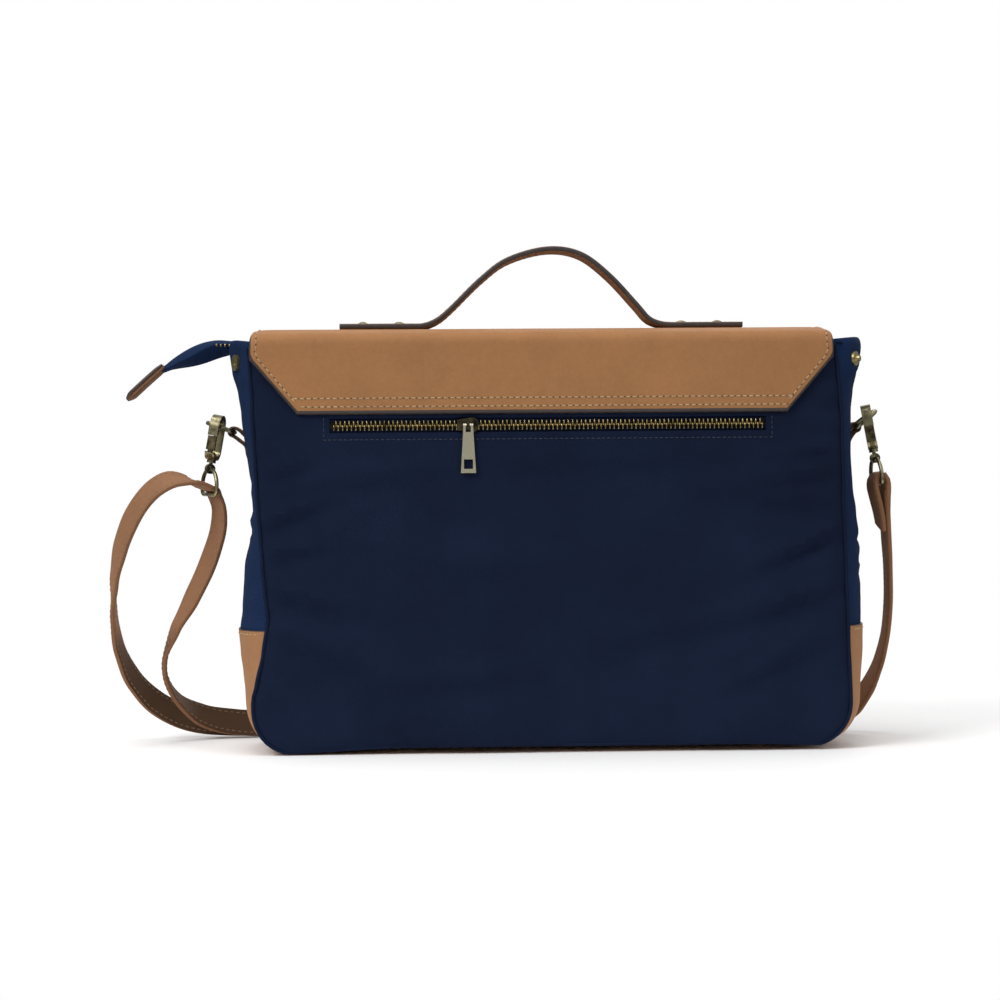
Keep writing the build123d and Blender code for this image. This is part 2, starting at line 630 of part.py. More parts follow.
# ---- shoulder strap -------------------------------------------------------------------------------
# Centre of the strap from its tucked end at the slide, up through the left ring, down to the floor,
# along behind the bag and up to the right ring. Each point has the direction of the strap's width.
UP = (0, 0, 1)
STRAP_ROUTE = [
    ((-67.8, 70.9, 12.2), UP),
    ((-74, 67.8, 12.2), UP),
    ((-90, 66.6, 11.0), UP),
    ((-115, 66.9, 9.3), UP),
    ((-150, 67.5, 9.2), UP),
    ((-190, 67.8, 9.2), UP),
    ((-214, 65.5, 10.5), (-0.1, 0.25, 1)),
    ((-235, 59, 15.5), (-0.3, 0.5, 0.9)),
    ((-251, 50, 27), (-0.3, 0.8, 0.6)),
    ((-259, 41, 43), (-0.15, 1, 0.25)),
    ((-258, 32, 60), (-0.1, 1, 0)),
    ((-250, 23, 79), (-0.35, 0.9, 0)),
    ((-238, 14, 100), (-0.55, 0.8, 0)),
    ((-227, 5, 122), (-0.6, 0.8, 0)),
    ((-219.5, -3, 143), (-0.55, 0.83, 0)),
    ((-217.9, -8, 158), (-0.5, 0.866, 0)),
    ((-220.8, -9.0, 167.8), (-0.5, 0.866, 0)),
    ((-221.9, -9.6, 171.2), (-0.5, 0.866, 0)),
    ((-224.2, -10.9, 172.1), (-0.5, 0.866, 0)),
    ((-230.5, -14, 175.0), (-0.52, 0.85, 0)),
    ((-241, -17, 178.0), (-0.5, 0.8, 0.35)),
    ((-253, -16, 176.5), (-0.4, 0.75, 0.5)),
    ((-265, -11, 168), (-0.5, 0.75, 0.4)),
    ((-276, -4, 153), (-0.55, 0.75, 0.3)),
    ((-284.5, 5, 134), (-0.5, 0.8, 0.2)),
    ((-290, 14, 112), (-0.3, 0.9, 0.1)),
    ((-292, 25, 88), (0, 1, 0.1)),
    ((-290, 37, 64), (0.15, 1, 0.3)),
    ((-282, 50, 42), (0.25, 0.8, 0.6)),
    ((-267, 62, 24), (0.2, 0.5, 0.9)),
    ((-246, 71, 13), (0.05, 0.2, 1)),
    ((-220, 74.5, 9.3), UP),
    ((-180, 74, 9.2), UP),
    ((-140, 72.5, 9.2), UP),
    ((-105, 71.2, 10.6), UP),
    ((-82.5, 70.5, 12.2), UP),
    ((-76.5, 74.3, 12.2), UP),
    ((-70, 77.1, 12.2), UP),
    ((-63.5, 74.3, 12.2), UP),
    ((-57.5, 70.5, 12.2), UP),
    ((-35, 70.6, 10.6), UP),
    ((0, 71.5, 9.2), UP),
    ((60, 73.5, 9.2), UP),
    ((120, 75, 9.2), UP),
    ((168, 74, 9.3), UP),
    ((196, 70, 10.5), (0, 0.15, 1)),
    ((213, 62, 17), (-0.1, 0.5, 0.85)),
    ((223, 51, 31), (-0.1, 0.85, 0.5)),
    ((228.5, 39, 49), (-0.05, 1, 0.2)),
    ((231, 27, 69), (0, 1, 0.05)),
    ((231, 16, 91), (0, 1, 0)),
    ((229.3, 7, 113), (0, 1, 0)),
    ((226.8, -1, 134), (-0.05, 1, 0)),
    ((224.6, -7, 152), (-0.1, 1, 0)),
    ((224.0, -10, 162), (-0.14, 0.99, 0)),
    ((224.2, -10.9, 169), (-0.14, 0.99, 0)),
    ((223.7, -10.9, 174.3), (-0.14, 0.99, 0)),
    ((222.0, -10.9, 177.4), (-0.14, 0.99, 0)),
    ((219.8, -10.9, 178.3), (-0.14, 0.99, 0)),
    ((217.5, -10.9, 177.2), (-0.14, 0.99, 0)),
    ((216.1, -10.9, 174.0), (-0.14, 0.99, 0)),
    ((216.0, -10.9, 169), (-0.14, 0.99, 0)),
    ((218.0, -10.4, 161), (-0.14, 0.99, 0)),
    ((220.6, -8.2, 151), (-0.1, 1, 0)),
    ((222.1, -5.4, 143), (-0.05, 1, 0)),
]


def strap_section(before, point, after, across):
    """Rectangle across the strap's route."""
    run = (Vector(*after) - Vector(*before)).normalized()
    width = Vector(*across)
    width = (width - run * width.dot(run)).normalized()
    return Plane(Vector(*point), x_dir=width, z_dir=run) * Rectangle(STRAP_WIDTH, STRAP_THICK)


def shoulder_strap():
    """Leather strap as a ruled loft through its sections."""
    sections = []
    points = [point for point, across in STRAP_ROUTE]
    for index, (point, across) in enumerate(STRAP_ROUTE):
        before = points[max(index - 1, 0)]
        after = points[min(index + 1, len(points) - 1)]
        sections.append(strap_section(before, point, after, across))
    return loft(sections, ruled=True)


def strap_slide():
    """Three-bar slide that sets the strap's length."""
    x_centre = -70.0
    y = 73.7
    wire = 1.3
    low = 1.5
    high = 22.9
    bars = []
    for x in (x_centre - 14, x_centre, x_centre + 14):
        bars.append(Pos(x, y, (low + high) / 2) * Cylinder(wire, high - low))
    rails = []
    for z in (low, high):
        rails.append(Pos(x_centre, y, z) * Rot(0, 90, 0) * Cylinder(wire, 28))
        for x in (x_centre - 14, x_centre + 14):
            rails.append(Pos(x, y, z) * Sphere(wire))
    frame = bars[0]
    for piece in bars[1:] + rails:
        frame += piece
    return frame


# ---- the assembly ---------------------------------------------------------------------------------
def build():
    """Every node of the bag by name."""
    nodes = {
        "back_panel": back_panel(),
        "front_panel": front_panel(),
        "gusset_left": gusset(-1),
        "gusset_right": gusset(1),
        "leather_base": leather_base(),
        "base_board": base_board(),
        "lining": lining(),
        "back_foam_pad": back_foam_pad(),
        "laptop_divider": laptop_divider(),
        "inner_pocket": inner_pocket(),
        "top_facing_back": top_facing(-1),
        "top_facing_front": top_facing(1),
        "flap_back": flap_back(),
        "flap_top": flap_top(),
        "flap_front": flap_front(),
        "handle_strap": handle_strap(),
        "handle_rivets": handle_rivets(),
        "handle_washers": handle_washers(),
        "magnet_sockets": magnet_discs(FRONT_Y, FRONT_Y + 1.2, 8.0),
        "magnet_studs": magnet_discs(FRONT_Y + 1.5, FLAP_FRONT_Y - LEATHER / 2, 7.0),
        "back_zip_tape": back_zip_tape(),
        "back_zip_teeth": back_zip_teeth(),
        "back_pocket_bag": back_pocket_bag(),
        "back_slider": on_back(zip_slider(0), BACK_SLIDER_X),
        "back_pull": on_back(zip_pull(), BACK_SLIDER_X, PULL_AXIS),
        "wing_back": wing(-1),
        "wing_front": wing(1),
        "wing_teeth_back": main_teeth(WING_LEFT_X, WING_RIGHT_X, -1),
        "wing_teeth_front": main_teeth(WING_LEFT_X, WING_RIGHT_X, 1),
        "zip_end_right": zip_end_cloth(WING_RIGHT_X + 3, 190, WING_HINGE_Y + 0.6),
        "zip_end_left": zip_end_cloth(-212, WING_LEFT_X - 3, 12.0),
        "main_end_teeth": [main_teeth(low, high, side) for side in (-1, 1)
                           for low, high in ((WING_RIGHT_X + 3, 176), (-212, WING_LEFT_X - 3))],
        "main_slider": Pos(MAIN_SLIDER_X, 0, CHAIN_Z) * zip_slider(-90),
        "main_pull": Pos(MAIN_SLIDER_X, 0, CHAIN_Z + PULL_AXIS) * Rot(0, 0, -90) * zip_pull(),
        "zip_tail": zip_tail(),
        "zip_tail_tab": zip_tail_tab(),
        "snap_sockets": [snap_socket(-1, -1), snap_socket(1, 1)],
        "snap_studs": [snap_stud(1, -1), snap_stud(-1, 1)],
        "shoulder_strap": shoulder_strap(),
        "strap_slide": strap_slide(),
    }
    for name, side in (("left", LEFT), ("right", RIGHT)):
        nodes["dring_" + name] = d_ring(side)
        nodes["dring_tab_" + name] = d_ring_tab(side)
        nodes["ring_" + name] = strap_ring(side)
        nodes["swivel_" + name] = swivel(side)
        nodes["clasp_" + name] = clasp(side)
        nodes["gate_" + name] = gate(side)
        nodes["gate_pin_" + name] = gate_pin(side)
    return nodes


os.makedirs("parts", exist_ok=True)
for node, shape in build().items():
    solid = Compound(children=shape) if isinstance(shape, list) else shape
    export_step(solid, "parts/" + node + ".step")
    print(node, "written")
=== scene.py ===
"""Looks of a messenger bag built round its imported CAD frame.

Lengths are millimetres in the frame's axes (+Z up, the back panel faces -Y) and become metres when a
mesh is made. Every visible soft piece is made here; the metal fittings are the frame's own nodes.
"""

import math

import bmesh
import bpy
from mathutils import Euler, Matrix, Vector, noise


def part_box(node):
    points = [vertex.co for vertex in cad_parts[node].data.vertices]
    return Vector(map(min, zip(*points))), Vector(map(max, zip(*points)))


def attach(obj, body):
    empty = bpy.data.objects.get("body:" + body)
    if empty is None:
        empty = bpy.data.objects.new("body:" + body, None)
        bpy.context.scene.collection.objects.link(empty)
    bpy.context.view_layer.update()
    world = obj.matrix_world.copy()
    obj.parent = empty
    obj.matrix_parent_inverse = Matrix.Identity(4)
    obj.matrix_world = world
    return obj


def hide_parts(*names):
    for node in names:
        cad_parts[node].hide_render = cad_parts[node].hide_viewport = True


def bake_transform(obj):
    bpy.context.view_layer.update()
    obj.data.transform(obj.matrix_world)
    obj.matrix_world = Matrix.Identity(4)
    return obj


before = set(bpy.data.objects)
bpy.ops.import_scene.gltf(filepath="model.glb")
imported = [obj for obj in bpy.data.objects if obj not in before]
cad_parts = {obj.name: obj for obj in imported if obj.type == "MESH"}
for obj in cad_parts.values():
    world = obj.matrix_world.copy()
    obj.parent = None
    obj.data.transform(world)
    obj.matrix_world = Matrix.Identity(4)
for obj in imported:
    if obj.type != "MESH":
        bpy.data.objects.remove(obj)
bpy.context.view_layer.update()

MM = 0.001


def box_mm(node):
    """Corners of a CAD node in millimetres."""
    low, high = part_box(node)
    return low / MM, high / MM


PANEL_LOW, PANEL_HIGH = box_mm("back_panel")
FRONT_HIGH = box_mm("front_panel")[1]
FLAP_BACK_LOW, FLAP_BACK_HIGH = box_mm("flap_back")
FLAP_TOP_LOW, FLAP_TOP_HIGH = box_mm("flap_top")
FLAP_FRONT_LOW, FLAP_FRONT_HIGH = box_mm("flap_front")
HANDLE_LOW, HANDLE_HIGH = box_mm("handle_strap")
TAPE_LOW, TAPE_HIGH = box_mm("back_zip_tape")

LEATHER = FLAP_BACK_HIGH.y - FLAP_BACK_LOW.y
STITCH_PITCH = 4.2
CORNER = 30.0               # radius of the lower corners
SEAM_BACK_Y = PANEL_LOW.y + 3.4
SEAM_FRONT_Y = FRONT_HIGH.y - 3.0
BOOT_TOP = 80.0
BOOT_PROUD = 1.3            # leather over the cloth of the sides
ROOF_Z = 269.3              # cloth between the gussets and the mouth's zip ends

# Half widths by height: the seams of the back panel, and the sides' fullest line at mid depth.
SEAM = {
    -1: [(0, 195), (35, 193.6), (45, 191), (64, 187), (86, 183.6), (105, 185.5), (124, 187.1),
         (162, 189.7), (226, 192.9), (270, 194.8)],
    1: [(0, 194.5), (31, 193.3), (76, 192), (122, 190.7), (161, 189.4), (214, 188.8),
        (246, 186.3), (262, 184.0), (270, 183.2)],
}
FULLEST = {
    -1: [(0, 198), (19, 198.9), (39, 200.2), (52, 201.4), (65, 203.2), (82, 205.0), (91, 203.6),
         (117, 201), (143, 196.8), (169, 196), (195, 198.7), (221, 202.3), (234, 204.8), (247, 208.4),
         (270, 211.4)],
    1: [(0, 203), (13, 203), (39, 204.5), (65, 206), (82, 206.4), (91, 207), (117, 206.2), (143, 205.2),
        (169, 202.6), (195, 200.4), (221, 200.4), (234, 202.2), (247, 205.3), (260, 208.2), (270, 209.4)],
}


# ---- materials ------------------------------------------------------------------------------------
def srgb(red, green, blue):
    """Linear colour from 8-bit sRGB values."""
    def linear(value):
        value /= 255.0
        return value / 12.92 if value <= 0.04045 else ((value + 0.055) / 1.055) ** 2.4
    return (linear(red), linear(green), linear(blue), 1.0)


def shade(colour, factor):
    """The same colour darker or lighter."""
    return tuple(min(1.0, channel * factor) for channel in colour[:3]) + (1.0,)


class Finish:
    """A node material on one Principled shader, with object coordinates in metres."""

    def __init__(self, name, roughness, metallic=0.0, **constants):
        self.material = bpy.data.materials.new(name)
        self.material.use_nodes = True
        self.tree = self.material.node_tree
        self.shader = self.tree.nodes["Principled BSDF"]
        self.shader.inputs["Roughness"].default_value = roughness
        self.shader.inputs["Metallic"].default_value = metallic
        for socket, value in constants.items():
            self.shader.inputs[socket.replace("_", " ")].default_value = value
        self.place = self.node("ShaderNodeTexCoord").outputs["Object"]
        self.bumped = None

    def node(self, kind, **settings):
        made = self.tree.nodes.new(kind)
        for key, value in settings.items():
            setattr(made, key, value)
        return made

    def link(self, output, socket):
        self.tree.links.new(output, socket)

    def mapping(self, scale=(1, 1, 1)):
        made = self.node("ShaderNodeMapping")
        made.inputs["Scale"].default_value = scale
        self.link(self.place, made.inputs["Vector"])
        return made.outputs["Vector"]

    def noise(self, scale, detail=4.0, roughness=0.6, stretch=(1, 1, 1)):
        made = self.node("ShaderNodeTexNoise")
        made.inputs["Scale"].default_value = scale
        made.inputs["Detail"].default_value = detail
        made.inputs["Roughness"].default_value = roughness
        self.link(self.mapping(stretch), made.inputs["Vector"])
        return made.outputs["Fac"]

    def cells(self, scale):
        made = self.node("ShaderNodeTexVoronoi")
        made.inputs["Scale"].default_value = scale
        self.link(self.place, made.inputs["Vector"])
        return made.outputs["Distance"]

    def ribs(self, scale, direction="DIAGONAL", distortion=0.6):
        made = self.node("ShaderNodeTexWave", wave_type="BANDS", bands_direction=direction)
        made.inputs["Scale"].default_value = scale
        made.inputs["Distortion"].default_value = distortion
        made.inputs["Detail"].default_value = 1.0
        made.inputs["Detail Scale"].default_value = 2.0
        self.link(self.mapping(), made.inputs["Vector"])
        return made.outputs["Fac"]

    def ramp(self, factor, stops):
        made = self.node("ShaderNodeValToRGB")
        points = made.color_ramp.elements
        while len(points) < len(stops):
            points.new(0.5)
        for point, (position, colour) in zip(points, stops):
            point.position = position
            point.color = colour
        self.link(factor, made.inputs["Fac"])
        return made.outputs["Color"]

    def mix(self, factor, first, second):
        made = self.node("ShaderNodeMix", data_type="RGBA", blend_type="MIX")
        for value, socket in ((factor, made.inputs[0]), (first, made.inputs[6]), (second, made.inputs[7])):
            if isinstance(value, bpy.types.NodeSocket):
                self.link(value, socket)
            else:
                socket.default_value = value
        return made.outputs[2]

    def spread(self, factor, low, high):
        made = self.node("ShaderNodeMapRange")
        made.inputs["To Min"].default_value = low
        made.inputs["To Max"].default_value = high
        self.link(factor, made.inputs["Value"])
        return made.outputs["Result"]

    def colour(self, output):
        self.link(output, self.shader.inputs["Base Color"])

    def rough(self, factor, low, high):
        self.link(self.spread(factor, low, high), self.shader.inputs["Roughness"])

    def bump(self, height, distance, strength=1.0):
        made = self.node("ShaderNodeBump")
        made.inputs["Distance"].default_value = distance
        made.inputs["Strength"].default_value = strength
        self.link(height, made.inputs["Height"])
        if self.bumped is not None:
            self.link(self.bumped, made.inputs["Normal"])
        self.bumped = made.outputs["Normal"]
        self.link(self.bumped, self.shader.inputs["Normal"])


def woven(name, tone, rib=560.0, depth=0.00022, sheen=0.05, faded=1.4):
    """Twill cloth: diagonal ribs crossed by finer yarns, with soft fading."""
    finish = Finish(name, 0.88, Sheen_Weight=sheen, Sheen_Roughness=0.45, Specular_IOR_Level=0.07)
    finish.shader.inputs["Sheen Tint"].default_value = shade(tone, 3.0)
    ribs = finish.ribs(rib)
    yarns = finish.ribs(rib * 1.9, "Z", 1.4)
    broad = finish.noise(14.0, 3.0)
    slubs = finish.noise(420.0, 2.0, 0.7, (0.35, 0.35, 2.0))
    base = finish.ramp(broad, [(0.3, shade(tone, 0.82)), (0.7, shade(tone, faded))])
    dark = finish.mix(finish.spread(ribs, 0.0, 0.4), base, shade(tone, 0.5))
    finish.colour(finish.mix(finish.spread(slubs, 0.0, 0.28), dark, shade(tone, 2.0)))
    finish.rough(slubs, 0.72, 0.95)
    finish.bump(ribs, depth, 0.7)
    finish.bump(yarns, depth * 0.6, 0.5)
    finish.bump(broad, 0.004, 0.12)
    return finish.material


def suede(name, tone, mottle=1.0, grain=0.00025, painted_shade=None):
    """Nubuck leather: cloudy tone, fine nap and small pores. Vertices marked by the attribute take a darker
    tone that is painted shade.
    """
    finish = Finish(name, 0.78, Sheen_Weight=0.2, Sheen_Roughness=0.5, Specular_IOR_Level=0.3)
    finish.shader.inputs["Sheen Tint"].default_value = shade(tone, 2.2)
    clouds = finish.noise(26.0, 5.0, 0.62)
    spots = finish.noise(240.0, 4.0, 0.72)
    nap = finish.noise(900.0, 4.0, 0.8)
    pores = finish.cells(1250.0)
    base = finish.ramp(clouds, [(0.28, shade(tone, 1 - 0.24 * mottle)), (0.5, tone),
                                (0.74, shade(tone, 1 + 0.2 * mottle))])
    spotted = finish.mix(finish.spread(spots, 0.0, 0.75 * mottle), base, shade(tone, 0.66))
    colour = finish.mix(finish.spread(nap, 0.0, 0.6), spotted, shade(tone, 1.6))
    if painted_shade:
        # painted shade: marked vertices turn to the darker brown, which stands in for the shadow on the
        # strap's low loops
        marked = finish.node("ShaderNodeAttribute", attribute_name="painted_shade")
        spotted_painted_shade = finish.mix(spots, shade(painted_shade, 0.8), shade(painted_shade, 1.25))
        colour = finish.mix(marked.outputs["Fac"], colour, spotted_painted_shade)
    finish.colour(colour)
    finish.rough(spots, 0.62, 0.92)
    finish.bump(nap, grain, 0.6)
    finish.bump(pores, grain * 0.8, 0.4)
    finish.bump(clouds, 0.003, 0.1)
    return finish.material


def painted(name, tone):
    """Edge paint over leather: satin, slightly ridged, worn in spots."""
    finish = Finish(name, 0.5, Coat_Weight=0.15, Coat_Roughness=0.4)
    worn = finish.noise(170.0, 4.0, 0.7)
    ridges = finish.noise(900.0, 2.0, 0.6, (0.3, 0.3, 0.3))
    finish.colour(finish.ramp(worn, [(0.35, shade(tone, 0.7)), (0.6, tone), (0.82, shade(tone, 1.9))]))
    finish.rough(worn, 0.38, 0.68)
    finish.bump(ridges, 0.0003, 0.5)
    return finish.material


def thread(name, tone):
    """Waxed sewing thread with a twist."""
    finish = Finish(name, 0.6, Sheen_Weight=0.2)
    twist = finish.ribs(900.0, "DIAGONAL", 0.3)
    soil = finish.noise(120.0, 3.0)
    base = finish.ramp(soil, [(0.3, shade(tone, 0.75)), (0.7, shade(tone, 1.1))])
    finish.colour(finish.mix(finish.spread(twist, 0.0, 0.5), base, shade(tone, 0.6)))
    finish.bump(twist, 0.00015, 0.8)
    return finish.material


def aged_metal(name, bright, dark, share, roughness=(0.22, 0.5)):
    """Antique plating: bright metal with dark stain left in patches, fine brush marks."""
    finish = Finish(name, 0.3, 1.0)
    stain = finish.noise(150.0, 5.0, 0.65)
    specks = finish.noise(1100.0, 3.0, 0.7)
    brush = finish.noise(420.0, 2.0, 0.5, (1.0, 1.0, 6.0))
    base = finish.ramp(stain, [(share - 0.14, dark), (share + 0.12, bright), (0.9, shade(bright, 1.12))])
    finish.colour(finish.mix(finish.spread(specks, 0.0, 0.35), base, dark))
    finish.rough(stain, roughness[1], roughness[0])
    finish.bump(brush, 0.00006, 0.35)
    finish.bump(specks, 0.00005, 0.3)
    return finish.material


def foamy(name, tone):
    """Open-cell foam or fibreboard."""
    finish = Finish(name, 0.95)
    cells = finish.cells(700.0)
    finish.colour(finish.ramp(cells, [(0.1, shade(tone, 0.6)), (0.6, tone)]))
    finish.bump(cells, 0.0006, 0.8)
    return finish.material


NAVY = srgb(18, 27, 48)
TAN = srgb(147, 103, 64)

twill = woven("navy_twill", NAVY)
# the sides get a lighter copy of the navy twill: painted light for the brightness falling on them
side_twill_painted_light = woven("navy_twill_painted_light", srgb(22, 38, 68), faded=1.5)
tape_cloth = woven("zip_tape", shade(NAVY, 0.8), rib=900.0, depth=0.00015)
lining_cloth = woven("lining_cloth", srgb(112, 100, 82), rib=1100.0, depth=0.0001, sheen=0.4)
flap_suede = suede("flap_leather", TAN)
base_suede = suede("base_leather", srgb(144, 104, 71), 0.8)
# the second, darker brown is painted shade for the strap's low loops, which lie in shadow
strap_suede = suede("strap_leather", srgb(132, 94, 66), 0.8, painted_shade=srgb(74, 52, 34))
strap_edge = suede("strap_edge", srgb(118, 82, 56), 0.5)
# painted shade: dark discs at the needle holes between stitches stand in for the shade inside the holes
needle_hole_shade = painted("needle_hole_shade", srgb(76, 50, 30))
rough_side = suede("leather_flesh_side", srgb(104, 72, 48), 0.5, 0.0003)
edge_paint = painted("edge_paint", srgb(58, 46, 42))
handle_paint = painted("handle_edge", srgb(54, 46, 44))
tan_thread = thread("tan_thread", srgb(196, 162, 116))
strap_thread = thread("strap_thread", srgb(146, 114, 80))
navy_thread = thread("navy_thread", srgb(20, 32, 57))
zip_brass = aged_metal("zip_brass", srgb(168, 148, 100), srgb(58, 46, 28), 0.4)
pull_brass = aged_metal("pull_brass", srgb(243, 238, 210), srgb(206, 196, 160), 0.2, (0.2, 0.3))
slider_metal = aged_metal("slider_metal", srgb(120, 108, 84), srgb(38, 34, 30), 0.52)
antique_brass = aged_metal("antique_brass", srgb(172, 164, 128), srgb(52, 48, 40), 0.44)
snap_brass = aged_metal("snap_brass", srgb(196, 182, 134), srgb(88, 76, 50), 0.36)
dark_brass = aged_metal("antique_brass_dark", srgb(150, 136, 100), srgb(34, 31, 29), 0.52)
magnet_steel = aged_metal("magnet_steel", srgb(170, 168, 160), srgb(90, 88, 84), 0.4)
foam_grey = foamy("foam", srgb(150, 150, 150))


# ---- mesh helpers ---------------------------------------------------------------------------------
def make_object(name, points, faces, materials, indices=None):
    """Smooth mesh object from points in millimetres."""
    mesh = bpy.data.meshes.new(name)
    mesh.from_pydata([Vector(point) * MM for point in points], [], faces)
    for material in materials:
        mesh.materials.append(material)
    if indices:
        mesh.polygons.foreach_set("material_index", indices)
    mesh.polygons.foreach_set("use_smooth", [True] * len(faces))
    mesh.validate()
    mesh.update()
    piece = bpy.data.objects.new(name, mesh)
    bpy.context.scene.collection.objects.link(piece)
    return piece


def round_edges(piece, width, segments=2, degrees=40):
    """Bevel modifier on the sharp edges."""
    bevel = piece.modifiers.new("rounded", "BEVEL")
    bevel.width = width * MM
    bevel.segments = segments
    bevel.limit_method = "ANGLE"
    bevel.angle_limit = math.radians(degrees)
    return piece


def steps(start, end, size):
    """Even values from start to end, about size apart."""
    count = max(1, round(abs(end - start) / size))
    return [start + (end - start) * index / count for index in range(count + 1)]


def merged(*runs, gap=0.05):
    """Sorted values without near repeats."""
    values = sorted(value for run in runs for value in run)
    kept = [values[0]]
    for value in values[1:]:
        if value - kept[-1] > gap:
            kept.append(value)
    return kept


def smooth_between(knots, value):
    """Smooth curve through knots (position, amount)."""
    if value <= knots[0][0]:
        return knots[0][1]
    for (low, first), (high, second) in zip(knots, knots[1:]):
        if value <= high:
            share = (value - low) / (high - low)
            share = 0.5 * share + 0.5 * share * share * (3 - 2 * share)
            return first + (second - first) * share
    return knots[-1][1]


def ripple(x, y, z, seed=0.0):
    """Perlin noise of a place."""
    return noise.noise(Vector((x + seed * 7.3, y - seed * 3.1, z + seed * 5.7)))


def thick_sheet(name, grid, thickness, materials, skip=None, border=None, flip=False):
    """Closed sheet: the grid is its outer face, and its inner face lies a thickness behind it.

    materials are those of the outer face, the inner face and the rim. skip(row, column) leaves a cell
    open, border(row, column) gives a cell of the outer face the rim's material.
    """
    rows = len(grid)
    columns = len(grid[0])
    points = [Vector(point) for row in grid for point in row]
    cells = []
    marks = []
    for row in range(rows - 1):
        for column in range(columns - 1):
            if skip and skip(row, column):
                continue
            first = row * columns + column
            cell = (first, first + 1, first + columns + 1, first + columns)
            cells.append(tuple(reversed(cell)) if flip else cell)
            marks.append(2 if border and border(row, column) else 0)
    normals = [Vector() for point in points]
    for cell in cells:
        corners = [points[index] for index in cell]
        normal = (corners[2] - corners[0]).cross(corners[3] - corners[1])
        for index in cell:
            normals[index] += normal
    inner = [point - normal.normalized() * thickness for point, normal in zip(points, normals)]
    shift = len(points)
    edges = {}
    for cell in cells:
        for start, end in zip(cell, cell[1:] + cell[:1]):
            edges[(start, end)] = (end, start)
    faces = list(cells)
    indices = list(marks)
    faces += [tuple(index + shift for index in reversed(cell)) for cell in cells]
    indices += [1] * len(cells)
    for (start, end), opposite in edges.items():
        if opposite not in edges:
            faces.append((end, start, start + shift, end + shift))
            indices.append(2)
    piece = make_object(name, points + inner, faces, materials, indices)
    tidy = bmesh.new()
    tidy.from_mesh(piece.data)
    loose = [vertex for vertex in tidy.verts if not vertex.link_faces]
    bmesh.ops.delete(tidy, geom=loose, context="VERTS")
    tidy.to_mesh(piece.data)
    tidy.free()
    return piece


def stations(path, pitch, start=0.0):
    """Points and directions at even distances along a run of points."""
    found = []
    reach = start + pitch / 2
    walked = 0.0
    for first, second in zip(path, path[1:]):
        leg = (second - first).length
        while leg > 0 and walked + leg >= reach:
            share = (reach - walked) / leg
            found.append((first.lerp(second, share), (second - first).normalized()))
            reach += pitch
        walked += leg
    return found


def on_surface(surface, corners, size=3.0):
    """Points and normals of a surface(u, v) along straight legs between its parameters."""
    places = []
    for (u, v), (next_u, next_v) in zip(corners, corners[1:]):
        length = (surface(next_u, next_v) - surface(u, v)).length
        count = max(2, int(length / size))
        for index in range(count):
            share = index / count
            places.append((u + (next_u - u) * share, v + (next_v - v) * share))
    places.append(corners[-1])
    small = 0.3
    result = []
    for u, v in places:
        point = surface(u, v)
        along = surface(u + small, v) - surface(u - small, v)
        normal = along.cross(surface(u, v + small) - surface(u, v - small))
        normal.normalize()
        result.append((point, normal))
    return result


def stitches(name, runs, material, pitch=STITCH_PITCH, length=3.1, width=0.85, hole_shade=None):
    """Stitches as short threads half sunk along runs of (point, normal), with dark discs of painted shade at
    the needle holes between.
    """
    points = []
    faces = []
    marks = []
    sides = 6
    profile = [(-0.5, 0.25, -0.55), (-0.36, 0.85, -0.05), (0.0, 1.0, 0.12), (0.36, 0.85, -0.05),
               (0.5, 0.25, -0.55)]
    for run in runs:
        places = [place for place, normal in run]
        for centre, direction in stations(places, pitch):
            nearest = min(run, key=lambda item: (item[0] - centre).length_squared)
            normal = (nearest[1] - direction * nearest[1].dot(direction)).normalized()
            across = direction.cross(normal)
            base = len(points)
            for along, swell, rise in profile:
                middle = centre + direction * along * length + normal * rise * width * 0.6
                for side in range(sides):
                    angle = math.tau * side / sides
                    offset = across * math.cos(angle) + normal * math.sin(angle)
                    points.append(middle + offset * swell * width / 2)
            for ring in range(len(profile) - 1):
                for side in range(sides):
                    start = base + ring * sides
                    beside = (side + 1) % sides
                    faces.append((start + side, start + beside, start + sides + beside, start + sides + side))
            faces.append(tuple(reversed(range(base, base + sides))))
            last = base + (len(profile) - 1) * sides
            faces.append(tuple(range(last, last + sides)))
            marks += [0] * (len(faces) - len(marks))
            # painted shade: a flat dark disc just over the surface at each needle hole
            if hole_shade:
                base = len(points)
                middle = centre + direction * pitch / 2 + normal * 0.07
                for side in range(8):
                    angle = math.tau * side / 8
                    rim = direction * math.cos(angle) * 0.62 + across * math.sin(angle) * 0.42
                    points.append(middle + rim)
                faces.append(tuple(range(base, base + 8)))
                marks.append(1)
    return make_object(name, points, faces, [material, hole_shade] if hole_shade else [material], marks)


def tube(name, path, radius, material, sides=8):
    """Round cord along points."""
    points = []
    faces = []
    for index, centre in enumerate(path):
        before = path[max(index - 1, 0)]
        after = path[min(index + 1, len(path) - 1)]
        run = (after - before).normalized()
        side_way = run.cross(Vector((0, 1, 0)))
        if side_way.length < 0.1:
            side_way = run.cross(Vector((0, 0, 1)))
        side_way.normalize()
        up_way = run.cross(side_way)
        for side in range(sides):
            angle = math.tau * side / sides
            points.append(centre + (side_way * math.cos(angle) + up_way * math.sin(angle)) * radius)
    for index in range(len(path) - 1):
        for side in range(sides):
            first = index * sides + side
            beside = index * sides + (side + 1) % sides
            faces.append((first, beside, beside + sides, first + sides))
    faces.append(tuple(range(sides)))
    faces.append(tuple(reversed(range((len(path) - 1) * sides, len(path) * sides))))
    return make_object(name, points, faces, [material])


